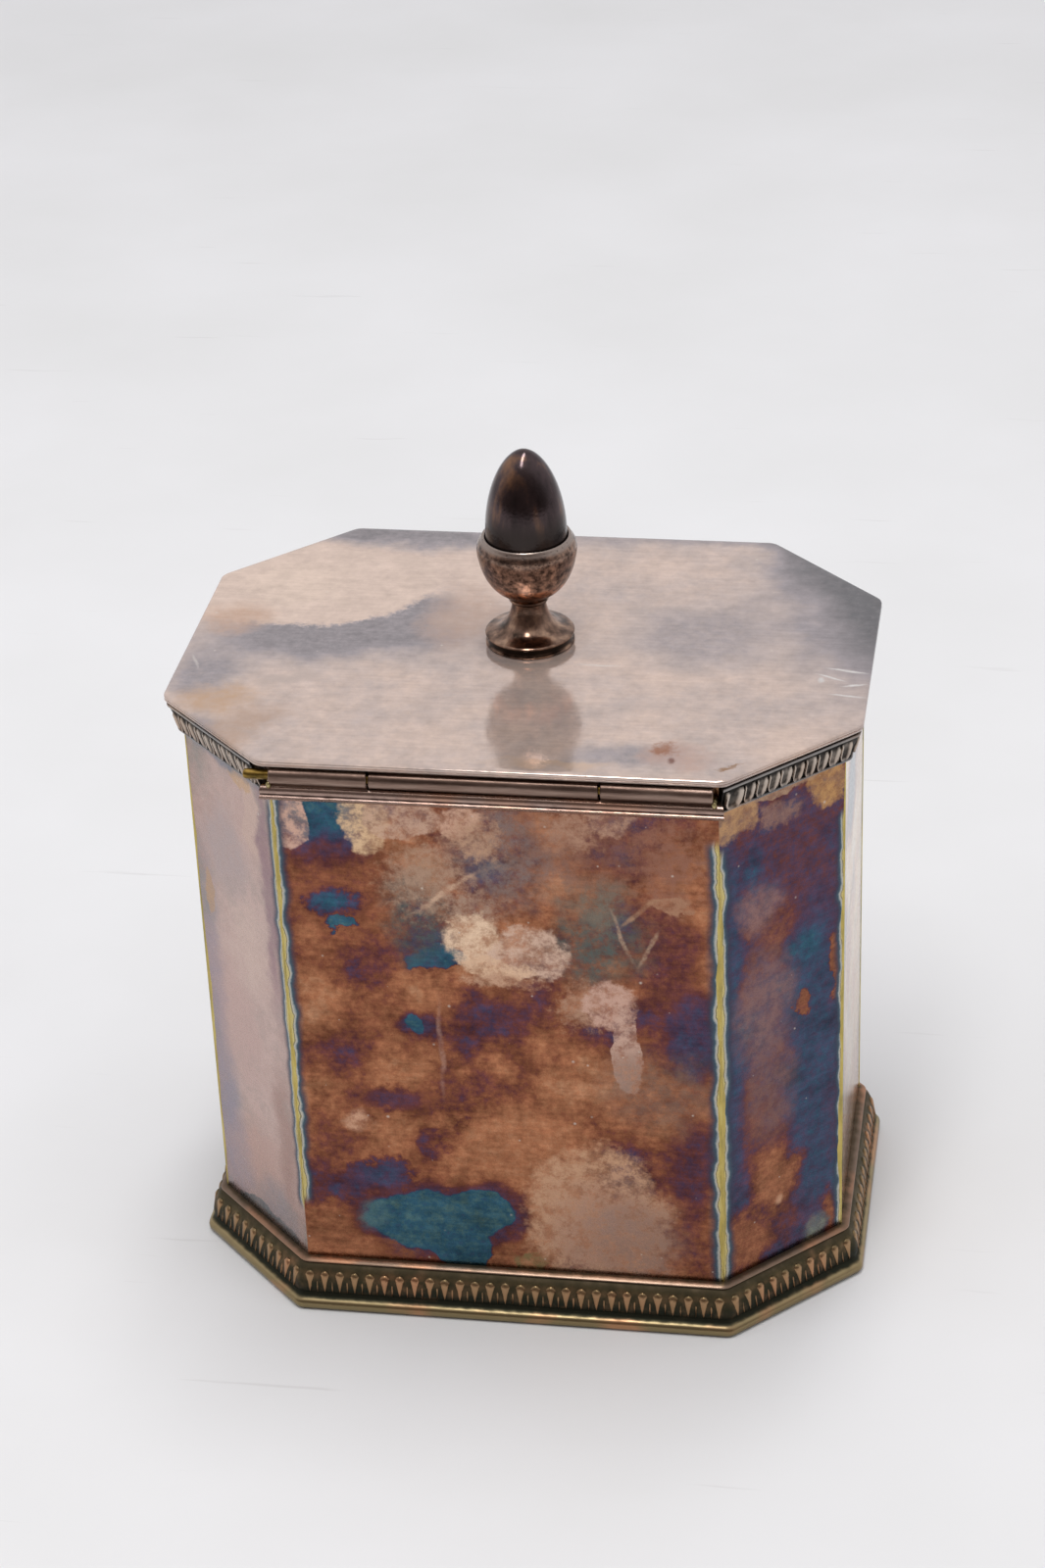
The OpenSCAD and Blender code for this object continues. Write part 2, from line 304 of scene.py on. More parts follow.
@dataclass(frozen=True)
class TarnishedSheet:
    """Silver-plated rolled sheet under a patchy tarnish film: the colour of each place comes from the
    film's thickness, with rubbed places, specks and fine scratches over it."""

    name: str
    turned: Euler
    film: float = 0.38
    film_spread: float = 0.16
    grain: float = 0.34
    colours: Stops = FILM
    marks: tuple[Mark, ...] = ()
    seams: tuple[Seam, Seam] = (Seam(), Seam())
    half_width: float = 40.0
    middle: float = 0.0
    inner: float | None = None
    metallic: float = 1.0
    roughness: float = 0.24
    rub: tuple[float, float] = (0.3, 1.0)
    speck_share: float = 0.5
    mottle: float = 0.3
    smears: float = 0.4

    def material(self) -> bpy.types.Material:
        """Builds the finish.

        Returns:
            The material.
        """
        shade = Shader(self.name, self.metallic, self.roughness)
        flat = {"Vector": shade.place, "Rotation": self.turned, "Location": (-self.middle, 0.0, 0.0)}
        face = shade.add(Kind.MAPPING, flat).outputs[0]
        # Clouds about 14 mm across with smaller ones on them, and grain from 1.5 mm down to 0.1 mm
        clouds = shade.add(Kind.NOISE, {"Vector": face, "Scale": 0.07, "Detail": 8.0, "Roughness": 0.6})
        fine = {"Vector": face, "Scale": 0.7, "Detail": 7.0, "Roughness": 0.7}
        grain = shade.add(Kind.NOISE, fine)
        centred = shade.add(
            Kind.MATH, {0: grain.outputs[0], 1: 0.5}, operation="SUBTRACT"
        ).outputs[0]
        wandering = self._wandering(shade, face)

        spread = {"Value": clouds.outputs[0], "From Min": 0.3, "From Max": 0.7}
        spread |= {"To Min": self.film - self.film_spread, "To Max": self.film + self.film_spread}
        thickness = shade.add(Kind.RANGE, spread).outputs[0]
        for mark in self.marks:
            if mark.film is not None:
                reach = self._reach(shade, mark, wandering[mark.edge], centred)
                rim = {"Value": reach, "From Min": 1 + mark.edge.blur}
                rim |= {"From Max": 1 - mark.edge.blur, "To Min": thickness, "To Max": mark.film}
                thickness = shade.add(Kind.RANGE, rim, interpolation_type="SMOOTHSTEP").outputs[0]
        thickness = shade.add(
            Kind.MATH, {0: centred, 1: self.grain, 2: thickness}, operation="MULTIPLY_ADD"
        ).outputs[0]
        colour = shade.add(Kind.RAMP, {0: thickness}, self.colours).outputs[0]
        colour = self._mottle(shade, face, colour)
        # Film left behind in patches of about 2 mm inside the rubbed places
        left = {"Vector": face, "Scale": 0.42, "Detail": 7.0, "Roughness": 0.74}
        left = shade.add(Kind.NOISE, left).outputs[0]
        left = {"Value": left, "From Min": 0.38, "From Max": 0.62, "To Min": 1 - 1.8 * self.mottle}
        left = shade.add(Kind.RANGE, left, interpolation_type="SMOOTHSTEP").outputs[0]
        for mark in self.marks:
            if mark.colour:
                reach = self._reach(shade, mark, wandering[mark.edge], centred)
                rim = {"Value": reach, "From Min": 1 + mark.edge.blur}
                rim |= {"From Max": 1 - mark.edge.blur, "To Max": mark.strength}
                amount = shade.add(Kind.RANGE, rim, interpolation_type="SMOOTHSTEP").outputs[0]
                amount = shade.add(Kind.MATH, {0: amount, 1: left}, operation="MULTIPLY").outputs[0]
                colour = self._over(shade, amount, colour, mark.colour)
        colour = self._worn_edges(shade, face, colour)
        colour = self._specks(shade, face, colour)
        colour = self._inside(shade, face, colour)
        shade.feed("Base Color", colour)
        self._surface(shade, face, clouds.outputs[0])
        return shade.material

    def _wandering(self, shade: Shader, face: Socket) -> dict[Edge, Socket]:
        """Makes the face's places wander, once for each kind of edge.

        Args:
            shade: the material.
            face: places across, up and out of the face.

        Returns:
            The wandering places for each kind of edge.
        """
        # Bends about 9 mm long with smaller ones on them
        bends = shade.add(Kind.NOISE, {"Vector": face, "Scale": 0.11, "Detail": 6.0, "Roughness": 0.6})
        bend = shade.add(
            Kind.VECTOR, {0: bends.outputs[1], 1: (0.5, 0.5, 0.5)}, operation="SUBTRACT"
        )
        used = {mark.edge for mark in self.marks}
        return {
            edge: shade.add(
                Kind.VECTOR,
                {0: bend.outputs[0], 1: (2 * edge.wander, 2 * edge.wander, 0.0), 2: face},
                operation="MULTIPLY_ADD",
            ).outputs[0]
            for edge in Edge
            if edge in used
        }

    def _reach(self, shade: Shader, mark: Mark, places: Socket, grain: Socket) -> Socket:
        """Measures how far each place is from a mark's middle, where 1 is the mark's rim.

        Args:
            shade: the material.
            mark: the mark.
            places: the face's wandering places.
            grain: fine grain about zero, to break up the rim.

        Returns:
            The distance.
        """
        spot = {"Vector": places, "Location": (mark.across, mark.up, 0.0)}
        spot |= {"Rotation": (0.0, 0.0, math.radians(mark.turn))}
        spot |= {"Scale": (mark.half_width, mark.half_height, THROUGH)}
        local = shade.add(Kind.MAPPING, spot, vector_type="TEXTURE")
        plain = shade.add(Kind.VECTOR, {0: local.outputs[0]}, operation="LENGTH")
        rough = {0: grain, 1: mark.edge.grain, 2: plain.outputs["Value"]}
        return shade.add(Kind.MATH, rough, operation="MULTIPLY_ADD").outputs[0]

    def _over(self, shade: Shader, amount: Socket, under: Socket, colour: str) -> Socket:
        """Lays a colour over another by an amount, and gives the mixed colour."""
        mixed = {0: amount, MIX_A: under, MIX_B: linear(colour)}
        return shade.add(Kind.MIX, mixed, data_type="RGBA").outputs[MIX_RESULT]

    def _worn_edges(self, shade: Shader, face: Socket, colour: Socket) -> Socket:
        """Draws the bare stripe, the pale tide line and the blue halo along the upright edges.

        Args:
            shade: the material.
            face: places on the face.
            colour: the colour so far.

        Returns:
            The colour with the stripes on it.
        """
        split = shade.add(Kind.SPLIT, {0: face})
        ripple = shade.add(Kind.NOISE, {"Vector": face, "Scale": 0.16, "Detail": 4.0})
        for sign, seam in zip((1, -1), self.seams):
            if seam.high <= seam.low:
                continue
            # Distance from the edge, then moved by about a millimetre either way
            inward = {0: split.outputs[0], 1: float(sign), 2: self.half_width - 1.2}
            inward = shade.add(Kind.MATH, inward, operation="MULTIPLY_ADD").outputs[0]
            uneven = {0: ripple.outputs[0], 1: 2.8, 2: inward}
            uneven = shade.add(Kind.MATH, uneven, operation="MULTIPLY_ADD").outputs[0]
            share = {"Value": uneven, "From Max": 6.5 * seam.width}
            share = shade.add(Kind.RANGE, share).outputs[0]
            stripe = shade.add(
                Kind.RAMP,
                {0: share},
                (
                    (0.0, "#bfae70"),
                    (0.16, "#c9bb80"),
                    (0.19, "#6d6650"),
                    (0.24, "#c2bcab"),
                    (0.3, "#9aa09f"),
                    (0.37, "#485b67"),
                    (0.55, "#3e4152"),
                    (1.0, "#46363f"),
                ),
            ).outputs[0]
            fade = {"Value": share, "From Min": 0.85, "From Max": 0.34}
            fade = shade.add(Kind.RANGE, fade, interpolation_type="SMOOTHSTEP").outputs[0]
            middle, half = (seam.low + seam.high) / 2, (seam.high - seam.low) / 2
            off = {0: split.outputs[1], 1: middle}
            off = shade.add(Kind.MATH, off, operation="SUBTRACT").outputs[0]
            off = shade.add(Kind.MATH, {0: off}, operation="ABSOLUTE").outputs[0]
            reach = {"Value": off, "From Min": half + 1.5, "From Max": half - 1.5, "To Max": fade}
            amount = shade.add(Kind.RANGE, reach, interpolation_type="SMOOTHSTEP").outputs[0]
            laid = {0: amount, MIX_A: colour, MIX_B: stripe}
            colour = shade.add(Kind.MIX, laid, data_type="RGBA").outputs[MIX_RESULT]
        return colour

    def _mottle(self, shade: Shader, face: Socket, colour: Socket) -> Socket:
        """Makes the film lighter and darker in small clouds, with dark smears across it.

        Args:
            shade: the material.
            face: places on the face.
            colour: the colour so far.

        Returns:
            The mottled colour.
        """
        # Streaks 0.7 mm wide and 10 mm long: the rolled grain, drawn coarser than the real one
        streaks = {"Vector": face, "Scale": (0.1, 1.4, 1.0)}
        streaks = shade.add(Kind.MAPPING, streaks).outputs[0]
        streaks = shade.add(Kind.NOISE, {"Vector": streaks, "Scale": 1.0, "Detail": 3.0}).outputs[0]
        # Clouds of 3 mm that break up into specks of a few tenths
        rough = {"Vector": face, "Scale": 0.33, "Detail": 9.0, "Roughness": 0.68}
        clouds = shade.add(Kind.NOISE, rough).outputs[0]
        both = {0: streaks, 1: 0.35, 2: clouds}
        both = shade.add(Kind.MATH, both, operation="MULTIPLY_ADD").outputs[0]
        value = {"Value": both, "From Min": 0.42, "From Max": 0.92}
        value |= {"To Min": 1 - self.mottle, "To Max": 1 + self.mottle}
        value = shade.add(Kind.RANGE, value).outputs[0]
        # Smears some 15 mm long and 5 mm high where the film is close to black
        drawn = {"Vector": face, "Scale": (0.07, 0.11, 1.0), "Location": (3.0, 7.0, 0.0)}
        drawn = shade.add(Kind.MAPPING, drawn).outputs[0]
        drawn = {"Vector": drawn, "Scale": 1.0, "Detail": 8.0, "Roughness": 0.62}
        drawn = shade.add(Kind.NOISE, drawn).outputs[0]
        smear = {"Value": drawn, "From Min": 0.5, "From Max": 0.68, "To Min": 1.0}
        smear |= {"To Max": 1 - self.smears}
        smear = shade.add(Kind.RANGE, smear, interpolation_type="SMOOTHSTEP").outputs[0]
        value = shade.add(Kind.MATH, {0: value, 1: smear}, operation="MULTIPLY").outputs[0]
        scaled = {0: colour, "Scale": value}
        return shade.add(Kind.VECTOR, scaled, operation="SCALE").outputs[0]

    def _specks(self, shade: Shader, face: Socket, colour: Socket) -> Socket:
        """Scatters pale specks where spots of film have flaked off.

        Args:
            shade: the material.
            face: places on the face.
            colour: the colour so far.

        Returns:
            The colour with the specks on it.
        """
        # A cell every 3 mm, with a speck up to 0.4 mm in radius in some of them
        cells = shade.add(Kind.CELLS, {"Vector": face, "Scale": 0.33})
        chance = shade.add(Kind.SPLIT, {0: cells.outputs["Color"]}).outputs[0]
        size = {"Value": chance, "From Min": 1 - self.speck_share, "From Max": 1.0}
        size |= {"To Min": 0.0, "To Max": 0.13}
        size = shade.add(Kind.RANGE, size).outputs[0]
        near = {"Value": cells.outputs["Distance"], "From Min": size, "From Max": 0.0}
        near |= {"To Max": 0.75}
        return self._over(shade, shade.add(Kind.RANGE, near).outputs[0], colour, "#d8cdc2")

    def _inside(self, shade: Shader, face: Socket, colour: Socket) -> Socket:
        """Gives the side of the sheet that faces into the caddy a dull grey, less like a mirror.

        Args:
            shade: the material.
            face: places on the face; the third coordinate points outwards.
            colour: the colour of the outer side.

        Returns:
            The colour of both sides.
        """
        if self.inner is None:
            return colour
        split = shade.add(Kind.SPLIT, {0: face})
        deep = {0: split.outputs[2], 1: self.inner}
        deep = shade.add(Kind.MATH, deep, operation="LESS_THAN").outputs[0]
        duller = {0: deep, 1: 0.3 - self.metallic, 2: self.metallic}
        duller = shade.add(Kind.MATH, duller, operation="MULTIPLY_ADD").outputs[0]
        shade.feed("Metallic", duller)
        amount = shade.add(Kind.MATH, {0: deep, 1: 0.86}, operation="MULTIPLY").outputs[0]
        return self._over(shade, amount, colour, "#978a7c")

    def _surface(self, shade: Shader, face: Socket, clouds: Socket) -> None:
        """Sets the sheet's uneven polish, its fine scratches and the slight waves in it.

        Args:
            shade: the material.
            face: places on the face.
            clouds: large soft noise.
        """
        fine = shade.add(Kind.NOISE, {"Vector": face, "Scale": 1.6, "Detail": 4.0}).outputs[0]
        dull = {"Value": fine, "From Min": 0.3, "From Max": 0.7}
        dull |= {"To Min": self.roughness - 0.05, "To Max": self.roughness + 0.09}
        shade.feed("Roughness", shade.add(Kind.RANGE, dull).outputs[0])
        # Hairlines 0.25 mm apart along the direction of rubbing, drawn coarser than real polish lines
        lines = shade.add(Kind.MAPPING, {"Vector": face, "Scale": (*self.rub, 1.0)}).outputs[0]
        lines = shade.add(Kind.NOISE, {"Vector": lines, "Scale": 4.0, "Detail": 2.0}).outputs[0]
        grained = {"Strength": 0.05, "Distance": 0.1 * MM, "Height": lines}
        grained = shade.add(Kind.BUMP, grained).outputs[0]
        # Waves about 14 mm long and a few hundredths of a millimetre deep
        waved = {"Strength": 0.25, "Distance": 0.25 * MM, "Height": clouds, "Normal": grained}
        shade.feed("Normal", shade.add(Kind.BUMP, waved).outputs[0])


@dataclass(frozen=True)
class CastPatina:
    """Cast and plated moulding: rubbed bright on its ridges, with dark oxide left in its hollows."""

    name: str
    ridge: Stops
    hollow: Stops
    low: float
    high: float
    roughness: float = 0.33
    flecks: str = "#c98a62"
    fleck_share: float = 0.3

    def material(self) -> bpy.types.Material:
        """Builds the finish; its ramps run from the moulding's foot to its top.

        Returns:
            The material.
        """
        shade = Shader(self.name, metallic=1.0, roughness=self.roughness)
        split = shade.add(Kind.SPLIT, {0: shade.place})
        height = {"Value": split.outputs[2], "From Min": self.low, "From Max": self.high}
        height = shade.add(Kind.RANGE, height).outputs[0]
        ridge = shade.add(Kind.RAMP, {0: height}, self.ridge).outputs[0]
        hollow = shade.add(Kind.RAMP, {0: height}, self.hollow).outputs[0]
        # Rubbed and dirty lengths of about 12 mm, with smaller ones of 2 mm
        rubbed = shade.add(Kind.NOISE, {"Vector": shade.place, "Scale": 0.08, "Detail": 2.0}).outputs[0]
        patchy = shade.add(Kind.NOISE, {"Vector": shade.place, "Scale": 0.5, "Detail": 5.0}).outputs[0]
        relief = shade.add(Kind.ATTRIBUTE, attribute_name=RELIEF).outputs["Fac"]
        fleck = {"Value": rubbed, "From Min": 0.52, "From Max": 0.66, "To Max": self.fleck_share}
        fleck = shade.add(Kind.RANGE, fleck).outputs[0]
        ridge = shade.add(
            Kind.MIX, {0: fleck, MIX_A: ridge, MIX_B: linear(self.flecks)}, data_type="RGBA"
        ).outputs[MIX_RESULT]
        bright = {0: patchy, 1: 0.9, 2: relief}
        bright = shade.add(Kind.MATH, bright, operation="MULTIPLY_ADD").outputs[0]
        bright = {"Value": bright, "From Min": 0.45, "From Max": 1.35}
        bright = shade.add(Kind.RANGE, bright, interpolation_type="SMOOTHSTEP").outputs[0]
        colour = {0: bright, MIX_A: hollow, MIX_B: ridge}
        colour = shade.add(Kind.MIX, colour, data_type="RGBA").outputs[MIX_RESULT]
        shade.feed("Base Color", colour)
        dull = {"Value": bright, "To Min": self.roughness + 0.25, "To Max": self.roughness - 0.05}
        shade.feed("Roughness", shade.add(Kind.RANGE, dull).outputs[0])
        pitted = {"Strength": 0.3, "Distance": 0.12 * MM, "Height": patchy}
        shade.feed("Normal", shade.add(Kind.BUMP, pitted).outputs[0])
        return shade.material


@dataclass(frozen=True)
class Band:
    """A band of another colour round a turned part, between two heights; broken where the film is
    thick, unless it is whole."""

    low: float
    high: float
    colour: str
    whole: bool = True


@dataclass(frozen=True)
class DrawnMetal:
    """Drawn or turned metal under a mottled film: strips, tubes, wire and turned parts."""

    name: str
    light: str
    middle: str
    dark: str
    roughness: float = 0.3
    # Cells of the pattern per millimetre along each axis; a small number draws it out
    stretch: tuple[float, float, float] = (0.4, 0.4, 0.4)
    contrast: float = 0.22
    pit_share: float = 0.0
    pit_depth: float = 0.0
    bands: tuple[Band, ...] = ()

    def material(self) -> bpy.types.Material:
        """Builds the finish.

        Returns:
            The material.
        """
        shade = Shader(self.name, metallic=1.0, roughness=self.roughness)
        drawn = shade.add(Kind.MAPPING, {"Vector": shade.place, "Scale": self.stretch}).outputs[0]
        film = shade.add(Kind.NOISE, {"Vector": drawn, "Scale": 1.0, "Detail": 6.0, "Roughness": 0.6})
        spread = {"Value": film.outputs[0]}
        spread |= {"From Min": 0.5 - self.contrast, "From Max": 0.5 + self.contrast}
        spread = shade.add(Kind.RANGE, spread).outputs[0]
        stops = ((0.0, self.dark), (0.5, self.middle), (1.0, self.light))
        colour = shade.add(Kind.RAMP, {0: spread}, stops).outputs[0]
        for band in self.bands:
            split = shade.add(Kind.SPLIT, {0: shade.place}).outputs[2]
            middle, half = (band.low + band.high) / 2, (band.high - band.low) / 2
            off = shade.add(Kind.MATH, {0: split, 1: middle}, operation="SUBTRACT").outputs[0]
            off = shade.add(Kind.MATH, {0: off}, operation="ABSOLUTE").outputs[0]
            near = {"Value": off, "From Min": half, "From Max": half * 0.3}
            near["To Max"] = 0.95 if band.whole else spread
            near = shade.add(Kind.RANGE, near, interpolation_type="SMOOTHSTEP").outputs[0]
            colour = shade.add(
                Kind.MIX, {0: near, MIX_A: colour, MIX_B: linear(band.colour)}, data_type="RGBA"
            ).outputs[MIX_RESULT]
        fine = shade.add(Kind.NOISE, {"Vector": shade.place, "Scale": 2.0, "Detail": 3.0}).outputs[0]
        dull = {"Value": fine, "To Min": self.roughness - 0.06, "To Max": self.roughness + 0.1}
        shade.feed("Roughness", shade.add(Kind.RANGE, dull).outputs[0])
        height = fine
        if self.pit_share:
            # A pit in most cells of 0.55 mm, up to 0.2 mm in radius
            cells = shade.add(Kind.CELLS, {"Vector": shade.place, "Scale": 1.8})
            chance = shade.add(Kind.SPLIT, {0: cells.outputs["Color"]}).outputs[0]
            size = {"Value": chance, "From Min": 1 - self.pit_share, "From Max": 1.0, "To Max": 0.42}
            size = shade.add(Kind.RANGE, size).outputs[0]
            pit = {"Value": cells.outputs["Distance"], "From Min": size, "From Max": 0.0}
            pit = shade.add(Kind.RANGE, pit).outputs[0]
            colour = shade.add(
                Kind.MIX, {0: pit, MIX_A: colour, MIX_B: linear(self.dark)}, data_type="RGBA"
            ).outputs[MIX_RESULT]
            height = shade.add(
                Kind.MATH, {0: pit, 1: -self.pit_depth, 2: fine}, operation="MULTIPLY_ADD"
            ).outputs[0]
        shade.feed("Base Color", colour)
        uneven = {"Strength": 0.18, "Distance": 0.1 * MM, "Height": height}
        shade.feed("Normal", shade.add(Kind.BUMP, uneven).outputs[0])
        return shade.material


@dataclass(frozen=True)
class PaintedBoard:
    """Matt white board that the caddy stands on, with faint smudges and hair scuffs."""

    name: str = "matt white board"

    def material(self) -> bpy.types.Material:
        """Builds the finish.

        Returns:
            The material.
        """
        shade = Shader(self.name, metallic=0.0, roughness=0.6)
        smudge = shade.add(Kind.NOISE, {"Vector": shade.place, "Scale": 0.012, "Detail": 5.0})
        stops = ((0.3, "#e0e0e0"), (0.7, "#e6e6e7"))
        colour = shade.add(Kind.RAMP, {0: smudge.outputs[0]}, stops).outputs[0]
        # Hair scuffs a few tenths of a millimetre wide, long along a slanting direction
        slant = {"Vector": shade.place, "Rotation": (0.0, 0.0, 0.6), "Scale": (0.02, 0.35, 1.0)}
        slant = shade.add(Kind.MAPPING, slant).outputs[0]
        scuff = shade.add(Kind.NOISE, {"Vector": slant, "Scale": 1.0, "Detail": 8.0}).outputs[0]
        scuff = {"Value": scuff, "From Min": 0.68, "From Max": 0.74, "To Max": 0.25}
        scuff = shade.add(Kind.RANGE, scuff).outputs[0]
        mixed = {0: scuff, MIX_A: colour, MIX_B: linear("#b9b6b4")}
        shade.feed("Base Color", shade.add(Kind.MIX, mixed, data_type="RGBA").outputs[MIX_RESULT])
        return shade.material


# ---------------------------------------------------------------------------------------------
# Shapes
# ---------------------------------------------------------------------------------------------

Section = tuple[tuple[float, float, float], ...]


def finish_piece(
    name: str,
    shape: bmesh.types.BMesh,
    material: bpy.types.Material,
    body: Body,
    nodes: tuple[str, ...] = (),
) -> bpy.types.Object:
    """Turns a shape in millimetres into a finished piece that rides on a body.

    Args:
        name: the piece's name.
        shape: the shape, which is used up.
        material: the piece's finish.
        body: the body that it moves with.
        nodes: the CAD nodes that it stands for.

    Returns:
        The new object.
    """
    bmesh.ops.remove_doubles(shape, verts=shape.verts, dist=1e-4)
    bmesh.ops.dissolve_degenerate(shape, edges=shape.edges, dist=1e-5)
    bmesh.ops.recalc_face_normals(shape, faces=shape.faces)
    bmesh.ops.scale(shape, vec=(MM, MM, MM), verts=shape.verts)
    mesh = bpy.data.meshes.new(name)
    shape.to_mesh(mesh)
    shape.free()
    mesh.shade_smooth()
    mesh.set_sharp_from_angle(angle=CRISP_ANGLE)
    mesh.materials.append(material)
    piece = bpy.data.objects.new(name, mesh)
    bpy.context.scene.collection.objects.link(piece)
    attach(piece, body.value)
    if nodes:
        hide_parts(*nodes)
    return piece


def dress_node(node: str, material: bpy.types.Material) -> None:
    """Gives a CAD node that stays in view its finish.

    Args:
        node: the CAD node.
        material: its finish.
    """
    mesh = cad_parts[node].data
    mesh.materials.clear()
    mesh.materials.append(material)


def sweep(
    rings: list[list[Vector]], relief: tuple[float, ...] = (), closed: bool = False
) -> bmesh.types.BMesh:
    """Extrudes a closed loop of points through each ring of places in turn.

    Args:
        rings: the places of the loop's points at each station.
        relief: how far each point stands up in the pattern, from 0 to 1, for the patina.
        closed: whether the last ring joins up with the first, or both ends are capped.

    Returns:
        The shape, with a relief layer on its points.
    """
    shape = bmesh.new()
    layer = shape.verts.layers.float.new(RELIEF)
    loop = [shape.verts.new(place) for place in rings[0]]
    for index, vert in enumerate(loop):
        vert[layer] = relief[index] if relief else 0.0
    edges = [shape.edges.new(pair) for pair in zip(loop, loop[1:] + loop[:1])]
    first = list(edges)
    for ring in [*rings[1:], rings[0]] if closed else rings[1:]:
        order = {tuple(vert.co): index for index, vert in enumerate(loop)}
        grown = bmesh.ops.extrude_edge_only(shape, edges=edges)["geom"]
        fresh = {item for item in grown if isinstance(item, bmesh.types.BMVert)}
        edges = [
            item
            for item in grown
            if isinstance(item, bmesh.types.BMEdge) and fresh.issuperset(item.verts)
        ]
        loop = sorted(fresh, key=lambda vert: order[tuple(vert.co)])
        for vert, place in zip(loop, ring):
            vert.co = place
    if not closed:
        bmesh.ops.contextual_create(shape, geom=first)
        bmesh.ops.contextual_create(shape, geom=edges)
    return shape


def spin_up(profile: list[tuple[float, float]], centre: Vector, steps: int) -> bmesh.types.BMesh:
    """Turns a half section round an upright axis.

    Args:
        profile: radius and height of each point, from one pole or hole to the other.
        centre: a point on the axis.
        steps: how many steps the full turn takes.

    Returns:
        The turned shape.
    """
    shape = bmesh.new()
    points = [shape.verts.new((centre.x + radius, centre.y, height)) for radius, height in profile]
    edges = [shape.edges.new(pair) for pair in zip(points, points[1:])]
    bmesh.ops.spin(
        shape,
        geom=[*points, *edges],
        cent=centre,
        axis=(0, 0, 1),
        angle=math.tau,
        steps=steps,
        use_merge=True,
    )
    return shape


@dataclass(frozen=True)
class Plan:
    """The caddy's outline seen from above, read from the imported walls."""

    half_width: float
    half_depth: float
    cut: float

    @classmethod
    def from_walls(cls) -> "Plan":
        """Reads the outline from the right-hand and the hinge-side walls."""
        right, back = box_mm("wall_right")[1], box_mm("wall_back")[1]
        return cls(right.x, back.y, right.x - back.x)

    def corners(self, out: float) -> list[Vector]:
        """Gives the eight corners of the outline moved outwards.

        Args:
            out: how far outwards, in millimetres.

        Returns:
            The corners, anticlockwise.
        """
        wide, deep = self.half_width + out, self.half_depth + out
        cut = self.cut + out * (2 - math.sqrt(2))
        near, far = wide - cut, deep - cut
        return [
            Vector(place)
            for place in (
                (near, -deep),
                (wide, -far),
                (wide, far),
                (near, deep),
                (-near, deep),
                (-wide, far),
                (-wide, -far),
                (-near, -deep),
            )
        ]

    def rounded(self, out: float, radius: float, steps: int = 7) -> list[Vector]:
        """Gives the outline with its corners rounded.

        Args:
            out: how far outwards.
            radius: the corners' radius at that distance.
            steps: steps round each corner.

        Returns:
            The outline's points, anticlockwise.
        """
        points = []
        for corner, middle in enumerate(self.corners(out - radius)):
            for step in range(steps + 1):
                angle = math.radians(45 * (corner - 2) + 45 * step / steps)
                points.append(middle + radius * Vector((math.cos(angle), math.sin(angle))))
        return points

    def side_frame(self, side: Side) -> Matrix:
        """Gives the frame of a wall: X along the side anticlockwise, Y outwards, Z up.

        Args:
            side: the side.

        Returns:
            The frame, with its origin under the middle of the wall's outer face.
        """
        ends = self.corners(0.0)
        middle = (ends[side.value] + ends[(side.value + 1) % 8]) / 2
        outward = Vector((math.cos(side.facing), math.sin(side.facing), 0.0))
        along = Vector((-outward.y, outward.x, 0.0))
        turn = Matrix((along, outward, Vector((0.0, 0.0, 1.0)))).transposed()
        return Matrix.Translation((middle.x, middle.y, 0.0)) @ turn.to_4x4()

    def side_length(self, side: Side, out: float) -> float:
        """Gives the length of a side of the outline moved outwards."""
        ends = self.corners(out)
        return (ends[side.value] - ends[(side.value + 1) % 8]).length


@dataclass(frozen=True)
class Slope:
    """The leaning face of a moulding that a row of ornament stands on."""

    foot_out: float
    foot_up: float
    top_out: float
    top_up: float

    @property
    def length(self) -> float:
        """Length of the slope from its foot to its top."""
        return math.hypot(self.top_out - self.foot_out, self.top_up - self.foot_up)

    def placed(self, plan: Plan, side: Side, along: float, size: Vector) -> Matrix:
        """Gives the placing of one unit of ornament on the slope.

        Args:
            plan: the caddy's outline.
            side: the side that the unit is on.
            along: its place along the side, from the middle.
            size: its half width, its height up the slope and how far it stands out.

        Returns:
            The matrix from the unit's own frame: X across, Y up the slope, Z out of it.
        """
        up = Vector((0.0, self.top_out - self.foot_out, self.top_up - self.foot_up)).normalized()
        out = Vector((0.0, up.z, -up.y))
        turn = Matrix((Vector((-1.0, 0.0, 0.0)), up, out)).transposed()
        foot = Vector((along, self.foot_out, self.foot_up))
        scale = Matrix.Diagonal((*size, 1.0))
        return plan.side_frame(side) @ Matrix.Translation(foot) @ turn.to_4x4() @ scale


